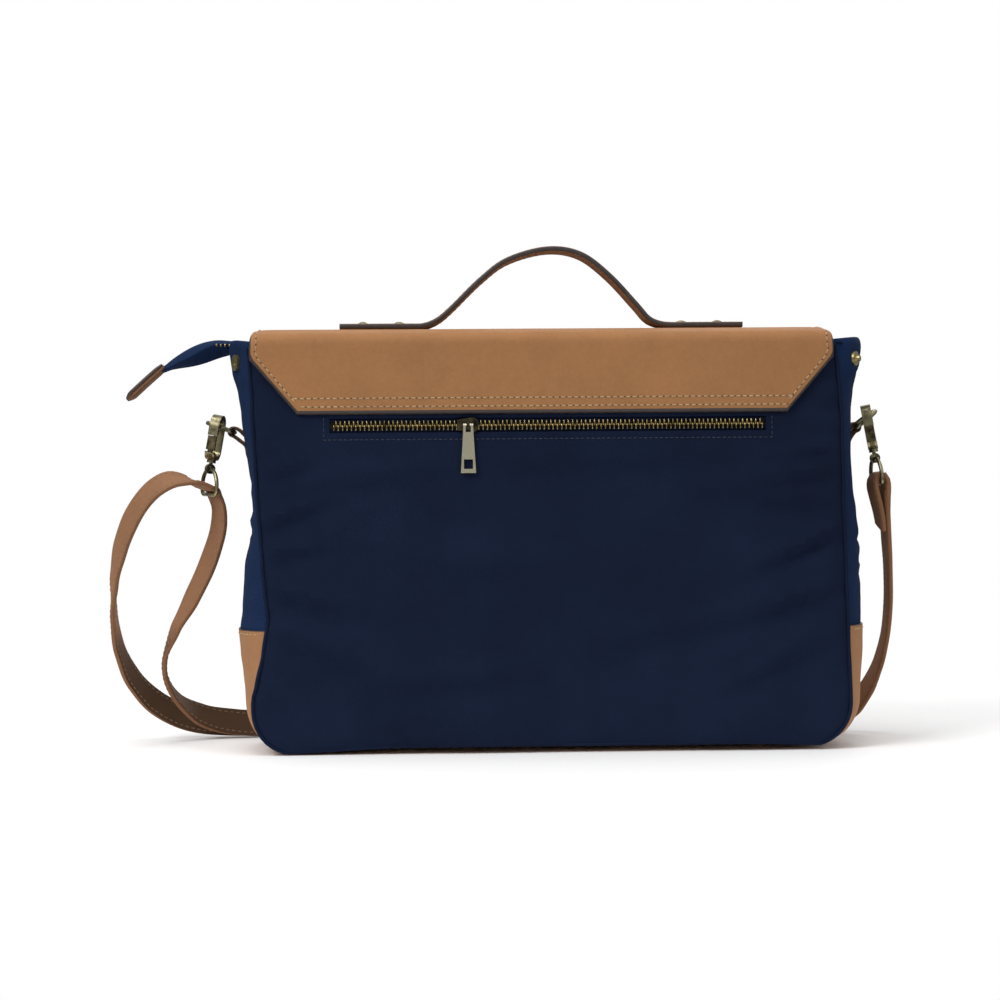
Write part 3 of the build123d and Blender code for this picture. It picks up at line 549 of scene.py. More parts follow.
# ---- camera and light -----------------------------------------------------------------------------
def make_camera():
    """Camera square to the back of the bag, a little to its left and just above its middle."""
    target = Vector((-32.0, 0.0, 163.0))
    distance = 1600.0
    azimuth = math.radians(-2.0)
    elevation = math.radians(0.4)
    roll = math.radians(-0.45)
    back = Vector((math.sin(azimuth) * math.cos(elevation), -math.cos(azimuth) * math.cos(elevation),
                   math.sin(elevation)))
    right = Vector((math.cos(azimuth), math.sin(azimuth), 0.0))
    up = back.cross(right)
    right, up = right * math.cos(roll) + up * math.sin(roll), up * math.cos(roll) - right * math.sin(roll)
    data = bpy.data.cameras.new("camera")
    data.lens = 86.4
    data.sensor_width = 36.0
    camera = bpy.data.objects.new("camera", data)
    bpy.context.scene.collection.objects.link(camera)
    place = Matrix((right, up, back)).transposed().to_4x4()
    place.translation = (target + back * distance) * MM
    camera.matrix_world = place
    bpy.context.scene.camera = camera


def make_light(name, place, size, power, spread=180.0):
    """Soft area light aimed at the middle of the bag, place in metres."""
    data = bpy.data.lights.new(name, "AREA")
    data.shape = "RECTANGLE"
    data.size, data.size_y = size
    data.energy = power
    data.spread = math.radians(spread)
    light = bpy.data.objects.new(name, data)
    bpy.context.scene.collection.objects.link(light)
    aim = Vector((0.0, 0.0, 0.14)) - Vector(place)
    light.matrix_world = Matrix.Translation(place) @ aim.to_track_quat("-Z", "Y").to_matrix().to_4x4()


def make_world():
    """White surroundings whose light comes mostly from above."""
    world = bpy.data.worlds.new("world")
    world.use_nodes = True
    tree = world.node_tree
    plain = tree.nodes["Background"]
    plain.inputs["Color"].default_value = (1.0, 1.0, 1.0, 1.0)
    lit = tree.nodes.new("ShaderNodeBackground")
    place = tree.nodes.new("ShaderNodeTexCoord")
    split = tree.nodes.new("ShaderNodeSeparateXYZ")
    level = tree.nodes.new("ShaderNodeMapRange")
    level.inputs["From Min"].default_value = -0.35
    level.inputs["From Max"].default_value = 0.8
    level.inputs["To Min"].default_value = 0.12
    level.inputs["To Max"].default_value = 0.85
    tree.links.new(place.outputs["Generated"], split.inputs["Vector"])
    tree.links.new(split.outputs["Z"], level.inputs["Value"])
    tree.links.new(level.outputs["Result"], lit.inputs["Strength"])
    path = tree.nodes.new("ShaderNodeLightPath")
    both = tree.nodes.new("ShaderNodeMixShader")
    tree.links.new(path.outputs["Is Camera Ray"], both.inputs["Fac"])
    tree.links.new(lit.outputs["Background"], both.inputs[1])
    tree.links.new(plain.outputs["Background"], both.inputs[2])
    tree.links.new(both.outputs["Shader"], tree.nodes["World Output"].inputs["Surface"])
    bpy.context.scene.world = world


def make_floor():
    """Pale paper under the bag that fades into the white around it."""
    paper = Finish("paper", 0.9)
    paper.colour(paper.ramp(paper.noise(3.0), [(0.3, (0.93, 0.93, 0.93, 1)), (0.7, (0.95, 0.95, 0.95, 1))]))
    length = paper.node("ShaderNodeVectorMath", operation="LENGTH")
    paper.link(paper.place, length.inputs[0])
    fade = paper.node("ShaderNodeMapRange", interpolation_type="SMOOTHSTEP")
    fade.inputs["From Min"].default_value = 0.34
    fade.inputs["From Max"].default_value = 0.75
    paper.link(length.outputs["Value"], fade.inputs["Value"])
    clear = paper.node("ShaderNodeBsdfTransparent")
    both = paper.node("ShaderNodeMixShader")
    paper.link(fade.outputs["Result"], both.inputs["Fac"])
    paper.link(paper.shader.outputs["BSDF"], both.inputs[1])
    paper.link(clear.outputs["BSDF"], both.inputs[2])
    paper.link(both.outputs["Shader"], paper.tree.nodes["Material Output"].inputs["Surface"])
    reach = 900.0
    corners = [(-reach, -reach, -0.6), (reach, -reach, -0.6), (reach, reach, -0.6), (-reach, reach, -0.6)]
    floor = make_object("floor", corners, [(0, 1, 2, 3)], [paper.material])


def make_stage():
    """Floor, surroundings and soft lights."""
    bpy.context.scene.view_settings.view_transform = "Standard"
    make_world()
    make_floor()
    make_light("key", (-1.5, -1.5, 1.7), (1.0, 1.0), 34.0)
    make_light("fill", (1.6, -1.7, 0.9), (1.0, 1.0), 8.0)
    make_light("top", (-0.3, -0.3, 2.2), (1.6, 1.0), 16.0)
    make_light("rear", (0.6, 2.0, 1.2), (1.6, 1.2), 12.0)


# ---- body of the bag ------------------------------------------------------------------------------
def corner_cut(z):
    """How far the rounded lower corner draws the side in at a height."""
    if z >= CORNER:
        return 0.0
    drop = (CORNER - max(z, 0.0)) / CORNER
    return CORNER * (1 - math.sqrt(max(0.0, 1 - drop * drop)))


def arch(x, z):
    """How far the stiff base bends up off the floor between its corners."""
    rise = min(1.0, max(0.0, (x + 188) / 100))
    fall = min(1.0, max(0.0, (192 - x) / 60))
    return 3.4 * rise * rise * (3 - 2 * rise) * (0.45 + 0.55 * fall) * max(0.0, 1 - z / 70.0)


def seam_x(side, z):
    """Signed x of the panel's seam at a height."""
    return side * (smooth_between(SEAM[side], z) - corner_cut(z))


SNAP_TURN = {-1: 25.5, 1: 33.0}


def snap_seats():
    """Where the snaps sit on the sides, on their inner faces."""
    seats = []
    for node in ("snap_sockets", "snap_studs"):
        low, high = box_mm(node)
        for side in (-1, 1):
            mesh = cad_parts[node].data
            verts = [vertex.co / MM for vertex in mesh.vertices if vertex.co.x * side > 0]
            span = [(min(place[axis] for place in verts), max(place[axis] for place in verts))
                    for axis in range(3)]
            radius = (span[2][1] - span[2][0]) / 2
            turn = math.radians(SNAP_TURN[side])
            toward = math.copysign(1, span[1][0] + span[1][1])
            inner_x = min(abs(span[0][0]), abs(span[0][1])) + radius * math.sin(turn)
            inner_y = min(abs(span[1][0]), abs(span[1][1])) + radius * math.cos(turn)
            seats.append(Vector((side * inner_x, toward * inner_y, (span[2][0] + span[2][1]) / 2)))
    return seats


SNAPS = snap_seats()


def belly(share):
    """Swell of the side between the back seam (0) and the front seam (1)."""
    return (1 - abs(2 * share - 1) ** 2.8) ** 0.75


def side_point(side, z, share, proud=0.0):
    """Point of the bag's side at a height, from the back seam to the front seam."""
    swell = belly(share)
    seam = smooth_between(SEAM[side], z)
    full = smooth_between(FULLEST[side], z)
    y = SEAM_BACK_Y + (SEAM_FRONT_Y - SEAM_BACK_Y) * share
    folds = 1.1 * ripple(side * 3.0, y * 0.045, z * 0.02) + 0.7 * ripple(side * 8.0, y * 0.11, z * 0.035, 2.0)
    waist = 150 if side < 0 else 128
    pinch = 2.8 * math.exp(-((z - waist) / 26) ** 2) * ripple(side * 5.0, y * 0.04, z * 0.13, 4.0)
    calm = min(1.0, z / 60) * swell
    x = seam + (full - seam) * swell + (folds + pinch) * calm - corner_cut(z) + proud
    for snap in SNAPS:
        if snap.x * side > 0:
            away = math.hypot(y - snap.y, z - snap.z)
            seat = min(1.0, max(0.0, (15.0 - away) / 8.0))
            seat = seat * seat * (3 - 2 * seat) * min(1.0, swell / 0.4)
            run = math.copysign(math.tan(math.radians(SNAP_TURN[side])), snap.y) * (y - snap.y)
            x += (abs(snap.x) - run - x) * seat
    return Vector((side * x, y, z))


def side_shares():
    """Columns over the side's depth, closer near the seams."""
    return [0.5 - 0.5 * math.cos(math.pi * index / 34) for index in range(35)]


def make_gusset(side, name, node):
    """Cloth side that rises past the leather and rolls in over the zip's end."""
    rows = []
    shares = side_shares()
    for z in steps(70.0, 262.0, 3.0):
        rows.append([side_point(side, z, share) for share in shares])
    for turn in steps(6, 90, 14):
        angle = math.radians(turn)
        row = []
        for share in shares:
            base = side_point(side, 262.0 + 4.0 * math.sin(angle), share)
            crown = (ROOF_Z - 262.0) * (0.55 + 0.45 * belly(share))
            if side < 0:                            # hollow that lets the mouth's pull lie down
                crown *= 1 - 0.95 * math.exp(-(base.y / 9.0) ** 4)
            lift = crown * math.sin(angle) - 4.0 * math.sin(angle)
            row.append(base + Vector((-side * 3.4 * (1 - math.cos(angle)), 0, lift)))
        rows.append(row)
    for reach in (3.0, 7.0, 11.0):
        rows.append([point + Vector((-side * reach, 0, -0.1 * reach)) for point in rows[-1]])
    piece = thick_sheet(name, rows, 1.1, [side_twill_painted_light, lining_cloth, side_twill_painted_light], flip=side < 0)
    round_edges(piece, 0.4)
    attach(piece, "root")
    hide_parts(node)
    return piece


def panel_columns():
    """Shares across a panel from its left seam (0) to its right seam (1)."""
    inner = [0.5 - 0.5 * math.cos(math.pi * index / 40) for index in range(41)]
    return merged(inner, [0.004, 0.01, 0.02, 0.98, 0.99, 0.996], gap=0.001)


def panel_y(x, z, low_z, high_z, plump, left, right):
    """Depth of a panel's face behind its fullest plane: rolled at the seams, plump in the middle."""
    reach = 5.0
    gap = min(x - left, right - x, z - low_z + 1.5, high_z - z + 4)
    roll = 3.3 * math.exp(-max(gap, 0.0) / reach * 1.6)
    swell = plump * max(0.0, math.sin(math.pi * min(1, max(0, (z - low_z) / (212 - low_z))))) ** 0.7
    swell *= max(0.0, 1 - abs(2 * (x - left) / (right - left) - 1) ** 3)
    return roll - swell


CREASES = (
    # centre x and z, slope, length, width and depth of soft folds in the padded back
    (-168, 150, 0.35, 34, 6, 1.5), (-165, 96, -0.3, 40, 7, 1.9), (-150, 60, -0.45, 46, 8, 1.3),
    (-172, 126, 0.1, 26, 5, 1.3), (-176, 206, 0.5, 18, 5, 1.2), (-170, 180, 0.3, 26, 5, 1.1),
    (-120, 172, 0.12, 46, 7, 0.9), (-60, 38, 0.1, 60, 9, 0.9), (168, 208, -0.25, 24, 4.5, 1.8),
    (172, 190, 0.1, 22, 4, 1.2), (160, 172, 0.1, 44, 7, 1.2), (150, 156, -0.08, 50, 8, 1.1),
    (166, 128, 0.45, 38, 6, 1.9), (160, 92, 0.3, 44, 7, 1.5), (150, 52, 0.5, 40, 7, 1.2),
    (40, 182, 0.04, 70, 8, 0.7), (80, 70, 0.2, 70, 10, 0.9), (-30, 110, -0.1, 80, 12, 0.9))


def crease(x, z):
    """Soft pulls and dents of the padded back panel."""
    soft = 1.7 * ripple(x * 0.012, 0.0, z * 0.016) + 0.6 * ripple(x * 0.03, 1.0, z * 0.03)
    dents = 0.0
    for centre_x, centre_z, slope, length, width, depth in CREASES:
        width *= 0.8
        run = (x - centre_x) + slope * (z - centre_z)
        off = (z - centre_z) - slope * (x - centre_x)
        ridge = math.exp(-(off / width) ** 2) - 0.7 * math.exp(-((off - 1.7 * width) / width) ** 2)
        dents += depth * math.exp(-(run / length) ** 2) * ridge
    return 1.5 * soft + 2.3 * dents


def pucker(x, z, left, right):
    """Gathers along the side seams, where the padding is pulled in by the thread."""
    gap = min(x - left, right - x)
    side = 1.0 if x - left < right - x else 5.0
    return 2.0 * math.exp(-((gap - 5.0) / 6.0) ** 2) * ripple(side, 0.0, z * 0.085 + 0.4 * math.sin(z * 0.05))


def back_y(x, z, left, right, window):
    """Outer face of the back panel."""
    y = PANEL_LOW.y + panel_y(x, z, 0.4, 300, 3.0, left, right)
    calm = min(1.0, max(0.0, (218 - z) / 30)) * min(1.0, (x - left) / 14, (right - x) / 14)
    near = min(1.0, max(0.0, (abs(z - 212.0) - 6.0) / 26.0)) if window[0] - 12 < x < window[1] + 12 else 1.0
    y += crease(x, z) * max(0.0, calm) * near + pucker(x, z, left, right) * min(1.0, z / 30)
    rim = max(window[0] - x, x - window[1], window[2] - z, z - window[3], 0.0)
    if rim < 3:
        y += 0.9 * math.exp(-rim * 1.8) - 0.5 * math.exp(-((rim - 2.0) / 1.2) ** 2)
    return y


def make_back_panel():
    """Padded back panel with the window of the pocket's zip."""
    top = PANEL_HIGH.z - 0.3
    window = (TAPE_LOW.x, TAPE_HIGH.x, TAPE_LOW.z + 2.8, TAPE_HIGH.z - 2.8)
    low_rows = [0.4, 1.2, 2.6, 4.6, 7.5, 11, 15, 20, 25, 30]
    heights = merged(low_rows, steps(34, 196, 4.5), steps(199, window[2], 1.4), [window[2] - 0.5, window[2]],
                     steps(window[2], window[3], 2.0), [window[3] + 0.5], steps(window[3] + 1.4, top, 4.0))
    rows = []
    marks = merged([window[0] - 3, window[0] - 0.6, window[0]], steps(window[0] + 3, window[1] - 3, 4.6),
                   [window[1], window[1] + 0.6, window[1] + 3])
    outer = [0.0, 0.7, 1.6, 3.0, 5.0, 8.0, 12.0]
    for z in heights:
        left = seam_x(-1, z)
        right = seam_x(1, z)
        first = [left + gap for gap in outer]
        last = [right - gap for gap in reversed(outer)]
        if first[-1] > marks[0] - 4:
            first = [left + (marks[0] - left) * share for share in (0, 0.02, 0.06, 0.14, 0.28, 0.45, 0.62)]
            last = [right - (right - marks[-1]) * share for share in (0.62, 0.45, 0.28, 0.14, 0.06, 0.02, 0)]
        bridge_left = [first[-1] + (marks[0] - first[-1]) * share for share in (0.2, 0.4, 0.6, 0.8)]
        bridge_right = [marks[-1] + (last[0] - marks[-1]) * share for share in (0.2, 0.4, 0.6, 0.8)]
        row = []
        for x in first + bridge_left + marks + bridge_right + last:
            y = back_y(x, z, left, right, window)
            row.append(Vector((x, y, z + arch(x, z))))
        rows.append(row)

    def in_window(row, column):
        point = (rows[row][column] + rows[row + 1][column + 1]) / 2
        return window[0] < point.x < window[1] and window[2] < point.z < window[3]

    piece = thick_sheet("back_panel_padded", rows, 3.0, [twill, lining_cloth, twill], skip=in_window)
    round_edges(piece, 0.5)
    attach(piece, "root")
    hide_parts("back_panel")
    box_left = window[0] - 4.0
    box_right = window[1] + 4.0
    lower = window[2] - 4.6

    def cloth(x, z):
        return Vector((x, back_y(x, z, seam_x(-1, z), seam_x(1, z), window) - 0.12, z))

    line = on_surface(cloth, [(box_right, window[3] + 1), (box_right, lower), (box_left, lower),
                              (box_left, window[3] + 1)])
    line = [(point, Vector((0, -1, 0))) for point, normal in line]
    seam = stitches("back_window_stitching", [line], navy_thread, pitch=3.4, length=2.4, width=0.6)
    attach(seam, "root")


def make_front_panel():
    """Front panel of plain twill, flat under the flap and plump below it."""
    rows = []
    for z in merged([0.4, 1.2, 2.6, 4.6, 7.5, 11, 15, 20, 25, 30], steps(34, FRONT_HIGH.z, 5.0)):
        left = seam_x(-1, z)
        right = seam_x(1, z)
        row = []
        for share in panel_columns():
            x = left + (right - left) * share
            edge = panel_y(x, z, 0.4, 300, 0.0, left, right)
            puff = 2.0 * math.exp(-((z - 34) / 26) ** 2) * max(0.0, 1 - abs(2 * share - 1) ** 4)
            calm = max(0.0, 1 - z / 62) + max(0.0, (abs(x) - 168) / 40)
            y = FRONT_HIGH.y - edge + puff - 0.7 * crease(-x, z) * min(1.0, calm)
            row.append(Vector((x, y, z + arch(x, z))))
        rows.append(row)
    piece = thick_sheet("front_panel_cloth", rows, 2.4, [twill, lining_cloth, twill], flip=True)
    round_edges(piece, 0.5)
    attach(piece, "root")
    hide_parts("front_panel")


def base_surface(position, share):
    """Leather base by its run: -1 is the top of the left patch, 0 the base's middle, 1 the top right."""
    side = -1 if position < 0 else 1
    run = abs(position)
    flat_end = 0.45
    corner_end = 0.72
    if run <= flat_end:
        z = 0.0
        reach = run / flat_end
        point = side_point(side, 0.0, share, BOOT_PROUD)
        return Vector((point.x * reach, point.y, 0.1 + arch(point.x * reach, 0.0)))
    if run <= corner_end:
        angle = math.radians(90 * (run - flat_end) / (corner_end - flat_end))
        z = CORNER * (1 - math.cos(angle))
    else:
        z = CORNER + (BOOT_TOP - CORNER) * (run - corner_end) / (1 - corner_end)
    point = side_point(side, z, share, BOOT_PROUD * min(1.0, z / 8))
    return Vector((point.x, point.y, max(z, 0.1) + arch(point.x, z)))


def make_base():
    """Leather base with the patches that climb both sides."""
    runs = merged(steps(-1, -0.72, 0.014), steps(-0.72, -0.45, 0.018), steps(-0.45, 0.45, 0.05),
                  steps(0.45, 0.72, 0.018), steps(0.72, 1, 0.014), [-0.9965, 0.9965], gap=0.001)
    shares = side_shares()
    rows = [[base_surface(run, share) for share in shares] for run in runs]
    last = len(rows) - 2

    def painted_edge(row, column):
        return row in (0, last)

    piece = thick_sheet("leather_base_wrap", rows, 1.8, [base_suede, rough_side, edge_paint],
                        border=painted_edge)
    round_edges(piece, 0.5)
    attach(piece, "root")
    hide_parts("leather_base", "base_board")
    runs_found = []
    for end in (-0.985, 0.985):
        line = on_surface(lambda u, v, end=end: base_surface(end + 0.0001 * (u - 50), v / 100),
                          [(50, 3), (50, 97)])
        runs_found.append([(point, Vector((math.copysign(1, point.x), 0, 0))) for point, normal in line])
    seam = stitches("base_stitching", runs_found, tan_thread)
    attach(seam, "root")


PIPING_LOW = 1.3                            # height of the rolled seams along the floor


def make_piping():
    """Rolled seams where the panels meet the sides."""
    for side, label in ((-1, "left"), (1, "right")):
        for y, place in ((SEAM_BACK_Y - 0.6, "back"), (SEAM_FRONT_Y + 0.6, "front")):
            foot = seam_x(side, PIPING_LOW)
            path = [Vector((foot * reach, y, PIPING_LOW + arch(foot * reach, PIPING_LOW)))
                    for reach in steps(0.0, 0.96, 0.04)]
            for z in merged(steps(PIPING_LOW, 14.0, 0.9), steps(18.0, 262.0, 5.0)):
                wander = 0.5 * ripple(side, y, z * 0.06)
                x = seam_x(side, z) + side * (0.5 + wander)
                path.append(Vector((x, y, z + arch(x, z))))
            roll = tube(f"seam_{place}_{label}", path, 1.25, twill)
            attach(roll, "root")


# ---- flap -----------------------------------------------------------------------------------------
FLAP_CENTRE = (FLAP_TOP_LOW.x + FLAP_TOP_HIGH.x) / 2 - 1.6
FOLD_HALF = (FLAP_TOP_HIGH.x - FLAP_TOP_LOW.x) / 2 + 0.8
FLAP_HALF = (FLAP_FRONT_HIGH.x - FLAP_FRONT_LOW.x) / 2
CUT_HALF = FLAP_HALF - 31.5                 # half width of the lower edges between the cut corners
CUT_BACK = 37.0                             # height of the cut corners
CUT_FRONT = 40.0
ROLL = 7.0                                  # size of the rounded folds
MIDDLE_Y = (FLAP_BACK_LOW.y + FLAP_FRONT_HIGH.y) / 2
ARCH_HALF = (FLAP_FRONT_HIGH.y - FLAP_BACK_LOW.y) / 2
ARCH_RISE = FLAP_TOP_HIGH.z - FLAP_BACK_HIGH.z - LEATHER - 0.3


def arch_z(y):
    """Height of the flap's top face."""
    return FLAP_TOP_HIGH.z - ARCH_RISE * ((y - MIDDLE_Y) / ARCH_HALF) ** 2


def fold_curve(y_edge, sign):
    """Rounded fold between an upright face and the arch, from the upright side."""
    start = Vector((0, y_edge, arch_z(y_edge) - ROLL))
    end = Vector((0, y_edge + sign * ROLL, arch_z(y_edge + sign * ROLL)))
    corner = Vector((0, y_edge, arch_z(y_edge)))
    return [start.lerp(corner, share).lerp(corner.lerp(end, share), share) for share in steps(0, 1, 0.1)]


def flap_profile():
    """Points in y and z of the flap's outer face, from its back edge over the top to its front edge."""
    back_y = FLAP_BACK_LOW.y
    front_y = FLAP_FRONT_HIGH.y
    back_fold = fold_curve(back_y, 1)
    front_fold = list(reversed(fold_curve(front_y, -1)))
    rise = [Vector((0, back_y, z)) for z in merged([FLAP_BACK_LOW.z + gap for gap in (0, 0.7, 1.6, 2.6, 5.0)],
                                                   steps(FLAP_BACK_LOW.z + 8, back_fold[0].z - 2, 3.5))]
    top = [Vector((0, y, arch_z(y))) for y in steps(back_fold[-1].y + 3, front_fold[0].y - 3, 4.5)]
    fall = [Vector((0, front_y, z)) for z in reversed(merged(
        [FLAP_FRONT_LOW.z + gap for gap in (0, 0.7, 1.6, 2.6, 5.0)],
        steps(FLAP_FRONT_LOW.z + 8, front_fold[-1].z - 2, 4.5)))]
    return rise + back_fold + top + front_fold + fall


def flap_half(y, z):
    """Half width of the flap at a point of its profile, and how much wider its edge strip looks there."""
    if y < MIDDLE_Y - ARCH_HALF + 1 and z < FLAP_BACK_LOW.z + CUT_BACK:
        slope = (FLAP_HALF - CUT_HALF) / CUT_BACK
        return CUT_HALF + (z - FLAP_BACK_LOW.z) * slope, math.hypot(1, slope)
    if y > MIDDLE_Y + ARCH_HALF - 1 and z < FLAP_FRONT_LOW.z + CUT_FRONT:
        slope = (FLAP_HALF - CUT_HALF) / CUT_FRONT
        return CUT_HALF + (z - FLAP_FRONT_LOW.z) * slope, math.hypot(1, slope)
    share = min(1.0, max(0.0, (z - 225) / 42))
    return FLAP_HALF + (FOLD_HALF - FLAP_HALF) * share, 1.0


def flap_place(y, z, x):
    """Point of the flap's outer face with its slight waves and its drooping ends."""
    half, widen = flap_half(y, z)
    edge = half - abs(x - FLAP_CENTRE)
    on_top = z > FLAP_BACK_HIGH.z - 6
    droop = 2.0 * math.exp(-max(edge, 0) / 2.6) if on_top else 0.0
    wave = 0.5 * ripple(x * 0.011, y * 0.02, z * 0.012, 3.0)
    if z < 262 and y < 0:
        return Vector((x, y - abs(wave) * min(1, (262 - z) / 20), z))
    if z < 255 and y > 0:
        sway = 1.1 * ripple(x * 0.014, 0.0, z * 0.01, 6.0) * min(1.0, (255 - z) / 60)
        return Vector((x, y + abs(sway), z))
    return Vector((x, y, z - droop + wave * 0.3))


EDGE_GAPS = (0.0, 0.35, 0.8, 1.3)           # painted strip along the flap's edges


def flap_row(point):
    """One row of the flap's grid at a point of its profile."""
    half, widen = flap_half(point.y, point.z)
    broad = 1.55 if widen > 1 else 1.0
    gaps = [gap * widen * broad for gap in EDGE_GAPS] + [4.6 * widen]
    left = FLAP_CENTRE - half
    right = FLAP_CENTRE + half
    count = 72
    inner = [left + gaps[-1] + (right - left - 2 * gaps[-1]) * index / count for index in range(1, count)]
    return [flap_place(point.y, point.z, x) for x in
            [left + gap for gap in gaps] + inner + [right - gap for gap in reversed(gaps)]]


def sink_edges(rows, low_end, high_end):
    """Bevel the painted strip: its points sink behind the leather's face."""
    depths = (2.3, 1.2, 0.35)
    last = len(rows[0]) - 1
    normals = []
    for index, row in enumerate(rows):
        before = rows[max(index - 1, 0)]
        after = rows[min(index + 1, len(rows) - 1)]
        normals.append([(after[c] - before[c]).cross(Vector((1, 0, 0))).normalized()
                        for c in range(last + 1)])
    for index, row in enumerate(rows):
        for column in range(last + 1):
            steps_in = [column, last - column]
            if low_end:
                steps_in.append(index)
            if high_end:
                steps_in.append(len(rows) - 1 - index)
            nearest = min(steps_in)
            if nearest < len(depths):
                row[column] = row[column] + normals[index][column] * depths[nearest]


def make_flap():
    """Flap in two sheets that meet under the handle: one stitched to the back, one over the front."""
    profile = flap_profile()
    split = min(range(len(profile)),
                key=lambda index: abs(profile[index].y - MIDDLE_Y) + (profile[index].z < 270) * 99)
    halves = (("flap_leather_back", profile[:split + 1], True, False),
              ("flap_leather_front", profile[split:], False, True))
    made = []
    for name, part, low_end, high_end in halves:
        rows = [flap_row(point) for point in part]
        sink_edges(rows, low_end, high_end)
        strip = len(EDGE_GAPS) - 1
        columns = len(rows[0]) - 1
        count = len(rows) - 1

        def painted_edge(row, column):
            near = [column, columns - 1 - column]
            if low_end:
                near.append(row)
            if high_end:
                near.append(count - 1 - row)
            return min(near) < strip

        piece = thick_sheet(name, rows, LEATHER - 1.2, [flap_suede, rough_side, edge_paint],
                            border=painted_edge)
        made.append(piece)
    back, front = made
    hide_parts("flap_back", "flap_top")
    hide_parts("flap_front")
    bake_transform(back)
    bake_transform(front)

    def edge_run(part, gap, sign):
        run = []
        for index, point in enumerate(part):
            half, widen = flap_half(point.y, point.z)
            x = FLAP_CENTRE + sign * (half - gap * widen)
            before = part[max(index - 1, 0)]
            after = part[min(index + 1, len(part) - 1)]
            normal = Vector((1, 0, 0)).cross(after - before).normalized()
            run.append((flap_place(point.y, point.z, x), normal))
        return run

    def cross_run(point, gap_side, normal):
        half, widen = flap_half(point.y, point.z)
        reach = half - gap_side * widen
        return [(flap_place(point.y, point.z, FLAP_CENTRE + x), normal) for x in steps(-reach, reach, 4.0)]

    side_gap = 4.6
    low = Vector((0, profile[0].y, FLAP_BACK_LOW.z + 5.0))
    high = Vector((0, profile[0].y, FLAP_BACK_LOW.z + 10.4))
    out = Vector((0, -1, 0))
    sewn = [point for point in profile[:split + 1] if point.z > low.z]
    runs = [edge_run(sewn, side_gap, sign) for sign in (-1, 1)]
    runs += [cross_run(low, side_gap, out), cross_run(high, side_gap, out)]
    seam = stitches("flap_stitching_back", runs, tan_thread, width=0.95, hole_shade=needle_hole_shade)
    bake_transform(seam)
    foot = Vector((0, profile[-1].y, FLAP_FRONT_LOW.z + 5.0))
    sewn = [point for point in profile[split:] if not (point.y > 50 and point.z < foot.z)]
    runs = [edge_run(sewn, side_gap, sign) for sign in (-1, 1)]
    runs.append(cross_run(foot, side_gap, Vector((0, 1, 0))))
    seam = stitches("flap_stitching_front", runs, tan_thread, width=0.95, hole_shade=needle_hole_shade)
    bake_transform(seam)


# ---- strap and handle -----------------------------------------------------------------------------
def catmull(before, start, end, after, share):
    """Point on a smooth curve through start and end."""
    square = share * share
    cube = square * share
    return 0.5 * (2 * start + (end - before) * share + (2 * before - 5 * start + 4 * end - after) * square
                  + (3 * start - 3 * end + after - before) * cube)


def smooth_route(points, size):
    """Smooth line through given points, with each point's share along the list."""
    line = []
    for index in range(len(points) - 1):
        before = points[max(index - 1, 0)]
        start, end = points[index], points[index + 1]
        after = points[min(index + 2, len(points) - 1)]
        count = max(1, round((end - start).length / size))
        for step in range(count):
            line.append((catmull(before, start, end, after, step / count), index + step / count))
    line.append((points[-1], len(points) - 1.0))
    return line


def band_section(width, thick, crown=0.25):
    """Outline of a leather band: (across, up, on the edge), with soft corners."""
    half = width / 2
    up = thick / 2
    soft = 0.9
    face = [(-half + soft, up, False), (-half * 0.6, up + crown * 0.7, False), (0, up + crown, False),
            (half * 0.6, up + crown * 0.7, False), (half - soft, up, False)]
    edge = [(half - soft * 0.25, up - soft * 0.3, True), (half, up - soft, True), (half + 0.05, 0, True),
            (half, -up + soft, True), (half - soft * 0.25, -up + soft * 0.3, True)]
    return face + edge + [(-across, -height, on_edge) for across, height, on_edge in face] + [
        (-across, -height, on_edge) for across, height, on_edge in edge]


def loft_faces(rings, corners):
    """Faces between closed rings of points that lie one after the other, and the caps at both ends."""
    faces = []
    for ring in range(rings - 1):
        for corner in range(corners):
            beside = (corner + 1) % corners
            faces.append((ring * corners + corner, (ring + 1) * corners + corner,
                          (ring + 1) * corners + beside, ring * corners + beside))
    faces.append(tuple(range(corners)))
    faces.append(tuple(reversed(range((rings - 1) * corners, rings * corners))))
    return faces


def edge_marks(section, rings):
    """Material indices for loft_faces: 1 on the edges of a band's section and on its caps, 0 elsewhere."""
    around = [1 if section[corner][2] and section[(corner + 1) % len(section)][2] else 0
              for corner in range(len(section))]
    return around * (rings - 1) + [1, 1]


def make_band(name, places, width, thick, materials):
    """Leather band swept along (centre, run, across) places. Returns the piece."""
    section = band_section(width, thick)
    points = []
    for centre, run, across in places:
        normal = run.cross(across)
        for sideways, height, on_edge in section:
            points.append(centre + across * sideways + normal * height)
    faces = loft_faces(len(places), len(section))
    return make_object(name, points, faces, materials, edge_marks(section, len(places)))


def band_places(route, size):
    """Centres, directions and width directions along a route of (point, width direction)."""
    centres = [Vector(point) for point, across in route]
    widths = [Vector(across).normalized() for point, across in route]
    line = smooth_route(centres, size)
    places = []
    for index, (centre, position) in enumerate(line):
        before = line[max(index - 1, 0)][0]
        after = line[min(index + 1, len(line) - 1)][0]
        run = (after - before).normalized()
        low = min(int(position), len(widths) - 2)
        share = position - low
        across = widths[low].lerp(widths[low + 1], share * share * (3 - 2 * share))
        across = (across - run * across.dot(run)).normalized()
        places.append((centre, run, across))
    return places


def band_runs(places, offset, height):
    """Stitch lines on both faces of a band at an offset from its centre line."""
    runs = []
    for face in (-1, 1):
        for side in (-1, 1):
            run = []
            for centre, direction, across in places:
                normal = direction.cross(across) * face
                run.append((centre + across * side * offset + normal * height, normal))
            runs.append(run)
    return runs


